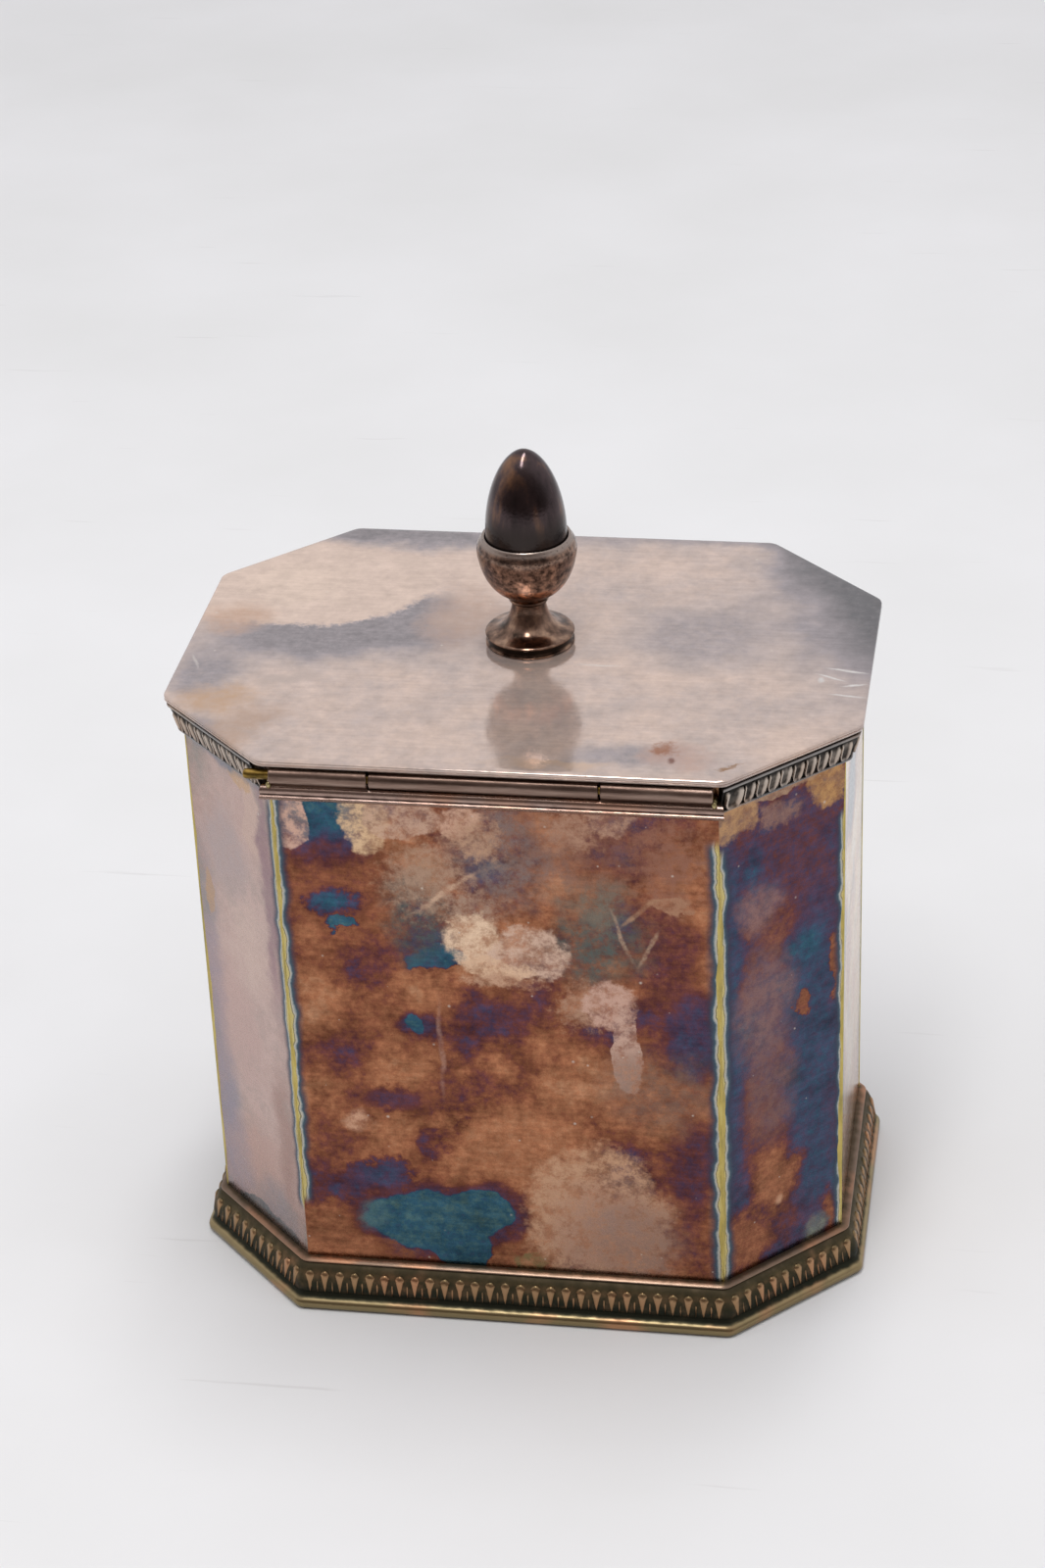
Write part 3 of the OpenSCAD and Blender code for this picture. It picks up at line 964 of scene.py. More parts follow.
def tongue_unit() -> bpy.types.Mesh:
    """Models one hanging tongue: a raised rim round its sides and foot, hollow within.

    Returns:
        A closed mesh, 2 wide from -1 to 1, 1 high and 1 deep, for a row to repeat.
    """
    shape = bmesh.new()
    layer = shape.verts.layers.float.new(RELIEF)
    bmesh.ops.create_grid(shape, x_segments=7, y_segments=6, size=1.0)
    columns = (-1.0, -0.9, -0.72, -0.4, 0.4, 0.72, 0.9, 1.0)
    rows = (0.0, 0.06, 0.18, 0.34, 0.6, 0.84, 1.0)
    foot = 0.45
    for vert in shape.verts:
        across = columns[round((vert.co.x + 1) * 3.5)]
        up = rows[round((vert.co.y + 1) * 3.0)]
        below = max(0.0, (foot - up) / foot)
        wide = math.sqrt(max(0.0, 1 - below**2)) if up > 0 else 0.3
        rim = max(abs(across), below)
        height = 0.0
        if rim < 0.99:
            height = 1.0 if rim > 0.7 else 0.14 + 0.16 * (1 - rim)
        if up == 1.0:
            height *= 0.3
        vert.co = Vector((across * wide, up, height))
        vert[layer] = height
    base = bmesh.ops.extrude_face_region(shape, geom=shape.faces[:])["geom"]
    for item in base:
        if isinstance(item, bmesh.types.BMVert):
            item.co.z = -0.6
            item[layer] = 0.0
    mesh = bpy.data.meshes.new("tongue_unit")
    shape.to_mesh(mesh)
    shape.free()
    return mesh


def dart_unit(sharpness: float) -> bpy.types.Mesh:
    """Models one dart: round at its top and drawn out to a point at its foot.

    Args:
        sharpness: how early the dart starts to narrow; 1 is a plain taper.

    Returns:
        A closed mesh, 2 wide from -1 to 1, 1 high and 1 deep, for a row to repeat.
    """
    shape = bmesh.new()
    layer = shape.verts.layers.float.new(RELIEF)
    turn = Matrix.Rotation(math.radians(90), 4, "X")
    bmesh.ops.create_uvsphere(shape, u_segments=8, v_segments=7, radius=1.0, matrix=turn)
    for vert in shape.verts:
        up = (vert.co.y + 1) / 2
        taper = up**sharpness
        rounded = math.sqrt(max(0.0, 1 - vert.co.y**2)) or 1.0
        full = min(1.0, math.sqrt(max(0.0, 1 - up) * 5))
        vert.co = Vector(
            (vert.co.x / rounded * taper * full, up, vert.co.z / rounded * (0.35 + 0.65 * taper) * full)
        )
        vert[layer] = max(0.0, min(1.0, 0.25 + vert.co.z))
    mesh = bpy.data.meshes.new("dart_unit")
    shape.to_mesh(mesh)
    shape.free()
    return mesh


@dataclass
class OrnamentRow:
    """A row of repeated ornament along the slope of a moulding."""

    plan: Plan
    slope: Slope
    pitch: float
    seed: int
    shape: bmesh.types.BMesh = field(default_factory=bmesh.new)

    def __post_init__(self) -> None:
        """Starts the row's mesh and its random draws."""
        self.shape.verts.layers.float.new(RELIEF)
        self.draw = random.Random(self.seed)

    def put(self, unit: bpy.types.Mesh, matrix: Matrix) -> None:
        """Adds one unit to the row.

        Args:
            unit: the unit's mesh.
            matrix: where it goes.
        """
        before = len(self.shape.verts)
        self.shape.from_mesh(unit)
        self.shape.verts.ensure_lookup_table()
        bmesh.ops.transform(self.shape, matrix=matrix, verts=self.shape.verts[before:])

    def run(
        self, unit: bpy.types.Mesh, side: Side, low: float, high: float, size: Vector, offset: float
    ) -> None:
        """Lays units along one side between two places, each a little different.

        Args:
            unit: the unit's mesh.
            side: the side.
            low: where the row starts, from the middle of the side.
            high: where it ends.
            size: the units' half width, height and depth.
            offset: shift of each unit along the row, as a share of the pitch.
        """
        count = max(1, round((high - low) / self.pitch))
        step = (high - low) / count
        for index in range(count):
            along = low + (index + 0.5 + offset) * step
            if not low < along < high:
                continue
            wear = self.draw.uniform(0.72, 1.08)
            own = Vector((size.x * self.draw.uniform(0.93, 1.05), size.y, size.z * wear))
            self.put(unit, self.slope.placed(self.plan, side, along, own))


# ---------------------------------------------------------------------------------------------
# Sub-assemblies
# ---------------------------------------------------------------------------------------------


def face_turn(side: Side) -> Euler:
    """Turns object places so that X runs right across a wall seen from outside, Y up and Z outwards."""
    level = Matrix.Rotation(-math.pi / 2 - side.facing, 3, "Z")
    return (Matrix.Rotation(-math.pi / 2, 3, "X") @ level).to_euler("XYZ")


@dataclass
class Walls:
    """The eight soldered wall panels; their CAD sheets stay and take a finish each."""

    plan: Plan
    # The hinge side: copper and red-brown, with teal blotches and rubbed pale places
    hinge_side: tuple[Mark, ...] = (
        Mark(-27, 88, 9, 12, film=0.43, edge=Edge.SOFT),
        Mark(-29, 100, 8, 7, film=0.58, edge=Edge.SOFT),
        Mark(-30, 103, 6, 4.5, film=0.76, edge=Edge.SOFT),
        Mark(-11, 74.5, 5, 2.4, film=0.74),
        Mark(29, 77, 5.5, 11, film=0.5, edge=Edge.SOFT),
        Mark(33, 60, 4, 9, film=0.62, edge=Edge.SOFT),
        Mark(33, 33, 4, 11, film=0.55, edge=Edge.SOFT),
        Mark(-29, 85, 4.5, 2.5, film=0.74, edge=Edge.SPECKLED),
        Mark(-27, 80.5, 3, 1.4, film=0.78),
        Mark(-14, 61.5, 3.5, 2.2, film=0.6, edge=Edge.SOFT),
        Mark(-14.5, 61.5, 1.4, 1.7, film=0.76),
        Mark(-20, 45, 5, 2.4, film=0.57, edge=Edge.SPECKLED),
        Mark(-11.5, 36.5, 5, 3.2, film=0.62, turn=35),
        Mark(-8, 40, 1.1, 2.6, film=0.78, turn=-25),
        Mark(-10, 35, 1.0, 1.6, film=0.74, turn=-35),
        Mark(-23, 28.5, 5, 3, film=0.66, edge=Edge.SPECKLED),
        Mark(2, 36, 14, 10, film=0.31, edge=Edge.SOFT),
        Mark(-32, 14, 6, 8, film=0.36, edge=Edge.SOFT),
        Mark(-14.5, 18.6, 14.4, 8.4, film=0.56, edge=Edge.RAGGED),
        Mark(-7, 20, 9.6, 8.0, film=0.55, edge=Edge.RAGGED),
        Mark(-14.5, 19, 12, 6.4, film=0.78, edge=Edge.SHARP),
        Mark(-7, 21.5, 7, 4.8, film=0.79, edge=Edge.SHARP),
        Mark(-9, 13, 6, 4.2, film=0.77, edge=Edge.SHARP),
        Mark(-14, 84, 5, 9, colour="#55605d", edge=Edge.SOFT, strength=0.9),
        Mark(17, 79, 7, 8.5, colour="#5b6460", edge=Edge.SOFT, strength=0.95),
        Mark(2, 96, 10, 9, colour="#877873", edge=Edge.SOFT, strength=0.8),
        Mark(16, 88, 6, 4, colour="#7d7468", edge=Edge.SOFT, strength=0.8),
        Mark(20, 98, 14, 7, colour="#8a6152", edge=Edge.SPECKLED, strength=0.7),
        Mark(-12, 91, 6, 6.5, colour="#b3927c", edge=Edge.SPECKLED, strength=0.85),
        Mark(-35, 101, 3.4, 5.5, colour="#cda795", edge=Edge.SHARP),
        Mark(-22, 101.5, 4.6, 5.6, colour="#dab893"),
        Mark(-16, 102.5, 6.5, 4, colour="#c6a38d", edge=Edge.SHARP, strength=0.9),
        Mark(-7, 103, 3.4, 3.4, colour="#cda58e"),
        Mark(-3.5, 99, 4.5, 3, colour="#b8937a", edge=Edge.SPECKLED, turn=-30),
        Mark(13, 101.5, 4, 3, colour="#ad8670", edge=Edge.SPECKLED),
        Mark(19.5, 104, 4.2, 2.8, colour="#b28d78"),
        Mark(29, 95, 5, 8, colour="#946857", edge=Edge.SPECKLED, strength=0.8),
        Mark(30, 87.5, 4.2, 2.2, colour="#a97f66"),
        Mark(-4, 84.5, 4.5, 3.2, colour="#a88b79", edge=Edge.SPECKLED),
        Mark(-4.5, 78.5, 5.6, 5.6, colour="#e6c7aa"),
        Mark(5, 77, 6.8, 4.8, colour="#d0b09c"),
        Mark(-1, 73.6, 6, 2.4, colour="#dab698"),
        Mark(0, 70.6, 5.6, 1.4, colour="#c39c82", edge=Edge.SPECKLED),
        Mark(13.5, 66.5, 3.6, 4, colour="#b08a73", edge=Edge.SPECKLED),
        Mark(19, 66.5, 4.8, 4.2, colour="#c8a291"),
        Mark(21.6, 58, 2.5, 9.5, colour="#c8a594", edge=Edge.SHARP, turn=4),
        Mark(27, 50, 8, 8, colour="#7c655a", edge=Edge.SOFT, strength=0.7),
        Mark(-11, 56, 0.45, 8, colour="#a98274", edge=Edge.LINE, strength=0.7),
        Mark(-9, 88, 0.5, 6, colour="#c9a78e", edge=Edge.LINE, turn=-52),
        Mark(21, 81.5, 0.35, 4.6, colour="#b99c84", edge=Edge.LINE, turn=20, strength=0.8),
        Mark(25.5, 79, 0.35, 3.4, colour="#b99c84", edge=Edge.LINE, turn=-25, strength=0.8),
        Mark(24, 86, 0.4, 3.6, colour="#b08b6f", edge=Edge.LINE, turn=-48, strength=0.8),
        Mark(-26.5, 39.5, 2.6, 1.8, colour="#cda084", edge=Edge.SOFT),
        Mark(15, 22.5, 12.5, 14.5, colour="#c69c7d"),
        Mark(17, 19, 10, 10.5, colour="#ac8877", edge=Edge.SOFT, strength=0.75),
        Mark(22, 16, 8, 9, colour="#98796b", edge=Edge.SOFT, strength=0.85),
        Mark(19, 21, 4, 3, colour="#a38577", edge=Edge.SOFT, strength=0.7),
        Mark(3.5, 10.5, 3.4, 2.6, colour="#85714f"),
        Mark(-25, 19, 2.6, 3, colour="#5f7a7a", edge=Edge.SOFT, strength=0.7),
        Mark(-22, 11, 5, 2.6, colour="#8f5a40"),
    )
    # The cut corner to the hinge side's left: thick washed-out film, mauve grey with a pink streak
    back_right: tuple[Mark, ...] = (
        Mark(1, 60, 13, 60, colour="#c4aaa2", edge=Edge.SOFT),
        Mark(-11.5, 45, 4, 34, colour="#968a94", edge=Edge.SOFT, strength=0.8),
        Mark(-3, 87, 6, 8, colour="#a89a9a", edge=Edge.SOFT, strength=0.7),
        Mark(2, 68, 6, 9, colour="#cbb3a8", edge=Edge.SOFT, strength=0.8),
        Mark(-4, 50, 6, 12, colour="#bd9f98", edge=Edge.SOFT, strength=0.7),
        Mark(-2, 22, 8, 9, colour="#b9968b", edge=Edge.SOFT, strength=0.8),
        Mark(6, 98, 2.6, 8, colour="#c6ab9f", turn=8),
        Mark(4, 104, 3, 2.4, colour="#c2a07f"),
        Mark(-11, 76, 2, 4, colour="#b49478"),
        Mark(1, 106.5, 14, 2.6, colour="#7c7d86", edge=Edge.SOFT),
        Mark(10.5, 84, 2.2, 22, colour="#8a6c76", edge=Edge.SOFT, strength=0.75),
        Mark(-9, 24, 4.5, 14, colour="#8c8a9a", edge=Edge.SOFT, strength=0.45),
        Mark(9, 32, 3, 14, colour="#9c7a70", edge=Edge.SOFT, strength=0.7),
        Mark(4, 14, 7, 5, colour="#8f8a90", edge=Edge.SOFT, strength=0.7),
        Mark(1, 9.5, 11, 3.2, colour="#6c7073", edge=Edge.SHARP),
    )
    # The cut corner to its right: indigo and purple, with a tan top and copper below
    back_left: tuple[Mark, ...] = (
        Mark(7, 50, 6, 34, film=0.68, edge=Edge.SOFT),
        Mark(-12, 60, 3, 40, film=0.67, edge=Edge.SOFT),
        Mark(3, 93, 8, 7, film=0.56, edge=Edge.SOFT),
        Mark(-9, 15, 4.6, 8, film=0.4, edge=Edge.SOFT),
        Mark(-2, 27, 5, 6, film=0.36, edge=Edge.SOFT),
        Mark(12.5, 66, 1.6, 7, film=0.42),
        Mark(5, 61, 1.6, 2.6, film=0.43),
        Mark(5, 73, 4, 3, film=0.74, edge=Edge.SOFT),
        Mark(11.5, 14, 1.8, 5, film=0.43, edge=Edge.SOFT),
        Mark(-4, 64, 6, 12, colour="#8a6a66", edge=Edge.SOFT, strength=0.85),
        Mark(-5, 84, 4.5, 4, colour="#95716b", edge=Edge.SOFT, strength=0.9),
        Mark(-3, 45, 5, 9, colour="#80605a", edge=Edge.SOFT, strength=0.8),
        Mark(-10, 104, 5.4, 4.6, colour="#b78f69"),
        Mark(10, 103.5, 5, 4.6, colour="#bb8f60"),
        Mark(0, 106, 9, 1.6, colour="#a98a72"),
        Mark(-1, 101, 3.6, 2, colour="#8f6f66", edge=Edge.SPECKLED),
        Mark(6.5, 12, 3, 2.8, colour="#838a7c", edge=Edge.SOFT),
        Mark(-1, 22, 0.8, 0.9, colour="#c79a7c", edge=Edge.LINE),
    )

    def scattered(self, seed: int, half_width: float) -> tuple[Mark, ...]:
        """Draws the marks of a side that nobody has described, in the manner of the others.

        Args:
            seed: seed of the side's random draws.
            half_width: half the width of the side.

        Returns:
            The marks.
        """
        draw = random.Random(seed)
        marks = []
        for _ in range(7):
            place = draw.uniform(-half_width, half_width), draw.uniform(14, 104)
            size = draw.uniform(3, 10), draw.uniform(3, 13)
            marks.append(Mark(*place, *size, film=draw.uniform(0.28, 0.8), edge=Edge.SOFT))
        for _ in range(5):
            place = draw.uniform(-half_width, half_width), draw.uniform(14, 104)
            size = draw.uniform(2, 6), draw.uniform(2, 8)
            colour = draw.choice(("#b8977f", "#a98674", "#c4a184", "#8f7c74"))
            edge = draw.choice((Edge.RAGGED, Edge.SPECKLED, Edge.SHARP))
            marks.append(Mark(*place, *size, colour=colour, edge=edge))
        return tuple(marks)

    def finish_of(self, side: Side) -> TarnishedSheet:
        """Chooses the tarnish of one wall.

        Args:
            side: the wall's side.

        Returns:
            Its finish.
        """
        half = self.plan.side_length(side, 0.0) / 2
        place = self.plan.side_frame(side)
        far = place.translation.dot(place.col[1].to_3d())
        middle = place.translation.dot(place.col[0].to_3d())
        common = {"turned": face_turn(side), "half_width": half, "middle": middle, "inner": far - 0.6}
        name = f"tarnished silver plate {side.node_end.replace('_', ' ')}"
        if side is Side.BACK:
            seams = (Seam(22, 108, 0.5), Seam(8, 100, 0.55))
            busy = {"film_spread": 0.22, "mottle": 0.4, "speck_share": 0.8, "smears": 0.3}
            marks = self.hinge_side
            return TarnishedSheet(name, film=0.42, marks=marks, seams=seams, **busy, **common)
        if side is Side.BACK_RIGHT:
            seams = (Seam(), Seam(20, 104, 0.5))
            quiet = {"mottle": 0.16, "smears": 0.15, "film_spread": 0.1, "grain": 0.1}
            marks = self.back_right
            return TarnishedSheet(name, film=0.97, marks=marks, seams=seams, **quiet, **common)
        if side is Side.BACK_LEFT:
            seams = (Seam(8, 98, 0.6), Seam(9, 96, 0.5))
            return TarnishedSheet(name, film=0.58, marks=self.back_left, seams=seams, **common)
        seams = (Seam(10, 98, 0.7), Seam(16, 104, 0.7))
        marks = self.scattered(40 + side.value, half)
        film = {Side.LEFT: 0.12, Side.FRONT: 0.4}.get(side, 0.5)
        roughness = 0.12 if side is Side.LEFT else 0.24
        return TarnishedSheet(
            name, film=film, marks=marks, seams=seams, roughness=roughness, **common
        )

    def dress(self) -> None:
        """Gives each wall its finish."""
        for side in Side:
            dress_node(f"wall_{side.node_end}", self.finish_of(side).material())
        log.info("walls: eight panels of tarnished plate")


@dataclass
class CornerSeams:
    """Solder run down the outside of the eight wall corners, rubbed through to yellow metal."""

    plan: Plan
    half_width: float = 0.62
    proud: float = 0.14
    low: float = 9.0
    high: float = 107.0
    # Corners beside the hinge side wear over part of their height only
    spans: tuple[tuple[int, float, float], ...] = ((3, 21.0, 106.0), (4, 8.8, 100.0))

    def build(self) -> bpy.types.Object:
        """Models the eight runs as one piece.

        Returns:
            The piece.
        """
        shape = bmesh.new()
        draw = random.Random(7)
        spans = {corner: (low, high) for corner, low, high in self.spans}
        for corner in range(8):
            low, high = spans.get(corner, (self.low, self.high))
            self._run(shape, corner, low, high, draw)
        finish = DrawnMetal(
            # Tin-rich solder gone yellow: dull straw with grey-green stains
            "yellowed solder",
            light="#d3c47e",
            middle="#bfab62",
            dark="#8b8558",
            roughness=0.38,
            stretch=(0.9, 0.9, 0.12),
        )
        return finish_piece("corner_seams", shape, finish.material(), Body.BOX)

    def _run(
        self, shape: bmesh.types.BMesh, corner: int, low: float, high: float, draw: random.Random
    ) -> None:
        """Adds one run of solder, bent round a corner, with ragged edges and pointed ends.

        Args:
            shape: the piece's mesh.
            corner: the corner's number.
            low: height of the run's foot.
            high: height of its top.
            draw: the piece's random draws.
        """
        rows = 56
        before = len(shape.verts)
        bmesh.ops.create_grid(shape, x_segments=4, y_segments=rows, size=1.0)
        shape.verts.ensure_lookup_table()
        fresh = shape.verts[before:]
        tip = self.plan.corners(0.0)[corner]
        # Directions along the two walls away from the corner
        onward = Side(corner).facing + math.pi / 2
        back = Side((corner - 1) % 8).facing - math.pi / 2
        ways = {True: onward, False: back}
        bisector = math.radians(45 * (corner - 1) - 22.5)
        widths = self._widths(rows + 1, draw), self._widths(rows + 1, draw)
        for vert in fresh:
            share = (vert.co.y + 1) / 2
            row = round(share * rows)
            across = vert.co.x
            ends = min(1.0, 0.12 + 5 * min(share, 1 - share))
            reach = abs(across) * widths[across > 0][row] * ends
            way = ways[across > 0]
            lift = self.proud * (1 - abs(across) ** 3) - 0.03
            place = tip + reach * Vector((math.cos(way), math.sin(way)))
            place += lift * Vector((math.cos(bisector), math.sin(bisector)))
            vert.co = Vector((place.x, place.y, low + share * (high - low)))
        faces = [face for face in shape.faces if face.verts[0].index >= before]
        base = bmesh.ops.extrude_face_region(shape, geom=faces)["geom"]
        inward = -0.3 * Vector((math.cos(bisector), math.sin(bisector), 0.0))
        moved = [item for item in base if isinstance(item, bmesh.types.BMVert)]
        bmesh.ops.translate(shape, vec=inward, verts=moved)
        shape.verts.index_update()

    def _widths(self, count: int, draw: random.Random) -> list[float]:
        """Draws the wandering width of one edge of a run.

        Args:
            count: how many rows the run has.
            draw: the piece's random draws.

        Returns:
            The width at each row.
        """
        width, widths = self.half_width, []
        for _ in range(count):
            width += draw.uniform(-0.22, 0.22) + 0.12 * (self.half_width - width)
            widths.append(max(0.28, min(1.3, width)))
        return widths


@dataclass
class BaseMoulding:
    """Cast moulding round the base: half-round foot flange, hollow, a swell with pendant darts, bead."""

    plan: Plan
    dart_pitch: float = 2.76
    dart_size: Vector = field(default_factory=lambda: Vector((1.2, 4.2, 0.6)))
    # Out from the wall, up, and how bright the place is rubbed
    section: Section = (
        (-0.8, 0.0, 0.2),
        (3.2, 0.0, 0.3),
        (3.75, 0.2, 0.7),
        (4.05, 0.65, 0.9),
        (4.1, 1.15, 1.0),
        (3.98, 1.65, 0.95),
        (3.65, 2.1, 0.8),
        (3.25, 2.28, 0.3),
        (2.9, 2.5, 0.0),
        (2.72, 2.9, 0.0),
        (2.8, 3.3, 0.0),
        (2.98, 3.7, 0.1),
        (3.04, 4.3, 0.1),
        (2.98, 5.0, 0.12),
        (2.82, 5.8, 0.15),
        (2.56, 6.6, 0.2),
        (2.2, 7.4, 0.3),
        (1.86, 7.95, 0.2),
        (1.55, 8.35, 0.1),
        (1.25, 8.62, 0.0),
        (1.12, 8.72, 0.0),
        (1.12, 8.8, 0.2),
        (1.3, 8.86, 0.8),
        (1.42, 9.02, 1.0),
        (1.38, 9.22, 0.9),
        (1.15, 9.4, 0.7),
        (0.45, 9.56, 0.3),
        (-0.8, 9.6, 0.1),
    )
    slope: Slope = Slope(3.14, 3.6, 2.05, 7.9)

    def finish(self) -> CastPatina:
        """Gives the patina: gold-brown flange, dark green hollows, coppery darts and a pinkish bead.

        Returns:
            The finish.
        """
        return CastPatina(
            "patinated cast moulding of the base",
            ridge=(
                (0.0, "#6f6449"),
                (0.22, "#a3916c"),
                (0.26, "#6d614a"),
                (0.4, "#9a7757"),
                (0.72, "#a88866"),
                (0.82, "#7f7050"),
                (0.9, "#957d6c"),
                (1.0, "#7d6859"),
            ),
            hollow=(
                (0.0, "#4e4630"),
                (0.25, "#34352b"),
                (0.45, "#2e3129"),
                (0.75, "#4c4735"),
                (1.0, "#564b3b"),
            ),
            low=0.0,
            high=9.6,
            flecks="#c88f6c",
            fleck_share=0.6,
        )

    def build(self) -> None:
        """Models the moulding and its darts, in place of the eight CAD lengths."""
        material = self.finish().material()
        relief = tuple(point[2] for point in self.section)
        rings = [
            [
                Vector((*self.plan.corners(out)[corner], up))
                for out, up, _ in self.section
            ]
            for corner in range(8)
        ]
        shape = sweep(rings, relief, closed=True)
        soften_mitres(shape, 0.9)
        nodes = tuple(f"base_moulding_{side.node_end}" for side in Side)
        finish_piece("base_moulding", shape, material, Body.BOX, nodes)
        large = OrnamentRow(self.plan, self.slope, self.dart_pitch, seed=11)
        dart, sliver = dart_unit(0.95), dart_unit(0.5)
        thin = Vector((0.22, 2.6, 0.36))
        for side in Side:
            half = self.plan.side_length(side, self.slope.foot_out) / 2 - 0.5
            large.run(dart, side, -half, half, self.dart_size, 0.0)
            large.run(sliver, side, -half, half, thin, 0.5)
        finish_piece("base_darts", large.shape, material, Body.BOX)
        log.info("base moulding: swept section with pendant darts")


def soften_mitres(shape: bmesh.types.BMesh, width: float) -> None:
    """Rounds the sharp mitres of a swept moulding a little, as casting and wear do.

    Args:
        shape: the moulding.
        width: how far the rounding reaches.
    """
    shape.normal_update()
    bmesh.ops.bevel(
        shape,
        geom=[edge for edge in shape.edges if joins_two_sides(edge)],
        offset=width,
        offset_type="OFFSET",
        segments=3,
        profile=0.5,
        affect="EDGES",
        material=-1,
        clamp_overlap=False,
    )


def joins_two_sides(edge: bmesh.types.BMEdge) -> bool:
    """Tells whether an edge's two faces face out of two different sides of the octagon.

    Args:
        edge: the edge.

    Returns:
        Whether they do.
    """
    flat = [face.normal.xy for face in edge.link_faces]
    if len(flat) != 2 or min(way.length for way in flat) < 0.05:
        return False
    turn = abs(flat[0].angle_signed(flat[1]))
    return math.radians(30) < turn < math.radians(60)


@dataclass
class RimMoulding:
    """Cast moulding under the lid's edge: plain lip, hanging tongues with darts between, thin fillet."""

    plan: Plan
    pitch: float = 2.7
    tongue_size: Vector = field(default_factory=lambda: Vector((1.12, 4.05, 0.5)))
    section: Section = (
        (-0.8, 106.7, 0.3),
        (0.85, 106.7, 0.4),
        (1.1, 106.82, 0.7),
        (1.18, 107.02, 0.8),
        (1.05, 107.22, 0.5),
        (0.85, 107.32, 0.0),
        (0.92, 107.7, 0.0),
        (1.12, 108.5, 0.05),
        (1.42, 109.4, 0.05),
        (1.78, 110.3, 0.05),
        (2.1, 111.1, 0.05),
        (2.2, 111.45, 0.0),
        (2.3, 111.6, 0.3),
        (2.52, 111.72, 0.65),
        (2.6, 111.95, 0.8),
        (2.58, 112.2, 0.75),
        (2.42, 112.36, 0.6),
        (1.9, 112.46, 0.2),
        (1.0, 112.5, 0.0),
        (0.6, 112.7, 0.0),
        (-0.8, 112.7, 0.0),
    )
    slope: Slope = Slope(0.98, 107.3, 2.16, 111.5)

    def finish(self) -> CastPatina:
        """Gives the patina: silver-grey ridges, sooty hollows and a blue-grey fillet, with painted shadow
        along the top of the lip under the lid's edge.

        Returns:
            The finish.
        """
        return CastPatina(
            "patinated cast moulding of the rim",
            ridge=(
                (0.0, "#767a80"),
                (0.1, "#83817f"),
                (0.2, "#b3a498"),
                (0.7, "#c0b4a8"),
                (0.84, "#98948f"),
                (0.9, "#8a8583"),
                # From here up, the top 0.4 mm of the lip is near black: painted shadow under the lid's
                # edge
                (0.93, "#3d3836"),
                (1.0, "#35302e"),
            ),
            hollow=((0.0, "#4a4d50"), (0.15, "#2f2b28"), (0.8, "#2a2725"), (1.0, "#2b2725")),
            low=106.7,
            high=112.7,
            flecks="#b99a80",
            fleck_share=0.5,
        )

    def build(self) -> None:
        """Models the moulding and its ornament, in place of the seven CAD lengths."""
        material = self.finish().material()
        relief = tuple(point[2] for point in self.section)
        corners = [4, 5, 6, 7, 0, 1, 2, 3]
        rings = [
            [
                Vector((*self.plan.corners(out)[corner], up))
                for out, up, _ in self.section
            ]
            for corner in corners
        ]
        shape = sweep(rings, relief)
        soften_mitres(shape, 0.6)
        short = self._stop_beside_pin(shape)
        nodes = tuple(f"rim_moulding_{side.node_end}" for side in Side if side is not Side.BACK)
        finish_piece("rim_moulding", shape, material, Body.BOX, nodes)
        row = OrnamentRow(self.plan, self.slope, self.pitch, seed=23)
        tongue, dart = tongue_unit(), dart_unit(0.6)
        thin = Vector((0.24, 3.4, 0.4))
        leaf = Vector((1.9, 4.15, 0.62))
        for side in Side:
            if side is Side.BACK:
                continue
            half = self.plan.side_length(side, 1.0) / 2
            low, high = -half + 0.6, half - 0.6
            if side is Side.BACK_RIGHT:
                high = half - short
            if side is Side.BACK_LEFT:
                # A broad leaf turns the corner beside the hinge
                low += 3.4
                row.put(tongue, self.slope.placed(self.plan, side, low - 1.9, leaf))
            row.run(tongue, side, low, high, self.tongue_size, 0.0)
            row.run(dart, side, low, high, thin, 0.5)
        finish_piece("rim_tongues", row.shape, material, Body.BOX)
        log.info("rim moulding: swept section with hanging tongues")

    def _stop_beside_pin(self, shape: bmesh.types.BMesh) -> float:
        """Cuts the moulding square beside the hinge pin.

        Args:
            shape: the moulding.

        Returns:
            How far short of the wall's corner the ornament has to stop.
        """
        half = self.plan.side_length(Side.BACK_RIGHT, 0.0) / 2
        to_side = self.plan.side_frame(Side.BACK_RIGHT).inverted()
        # The CAD length's square end meets its top corner furthest towards the hinge side
        end = max(
            (to_side @ (vert.co * PER_METRE)).x
            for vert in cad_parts["rim_moulding_back_right"].data.vertices
        )
        place = self.plan.side_frame(Side.BACK_RIGHT)
        along = place.to_3x3() @ Vector((1.0, 0.0, 0.0))
        beside = {
            vert for vert in shape.verts if vert.co.x > self.plan.half_width * 0.5 and vert.co.y > 0
        }
        parts = [
            item for item in (*shape.edges, *shape.faces) if beside.issuperset(item.verts)
        ]
        cut = bmesh.ops.bisect_plane(
            shape,
            geom=[*beside, *parts],
            dist=1e-5,
            plane_co=place @ Vector((end, 0.0, 0.0)),
            plane_no=along,
            clear_outer=True,
        )["geom_cut"]
        rim = [item for item in cut if isinstance(item, bmesh.types.BMEdge)]
        bmesh.ops.holes_fill(shape, edges=rim, sides=0)
        return max(0.4, half - end + 0.1)


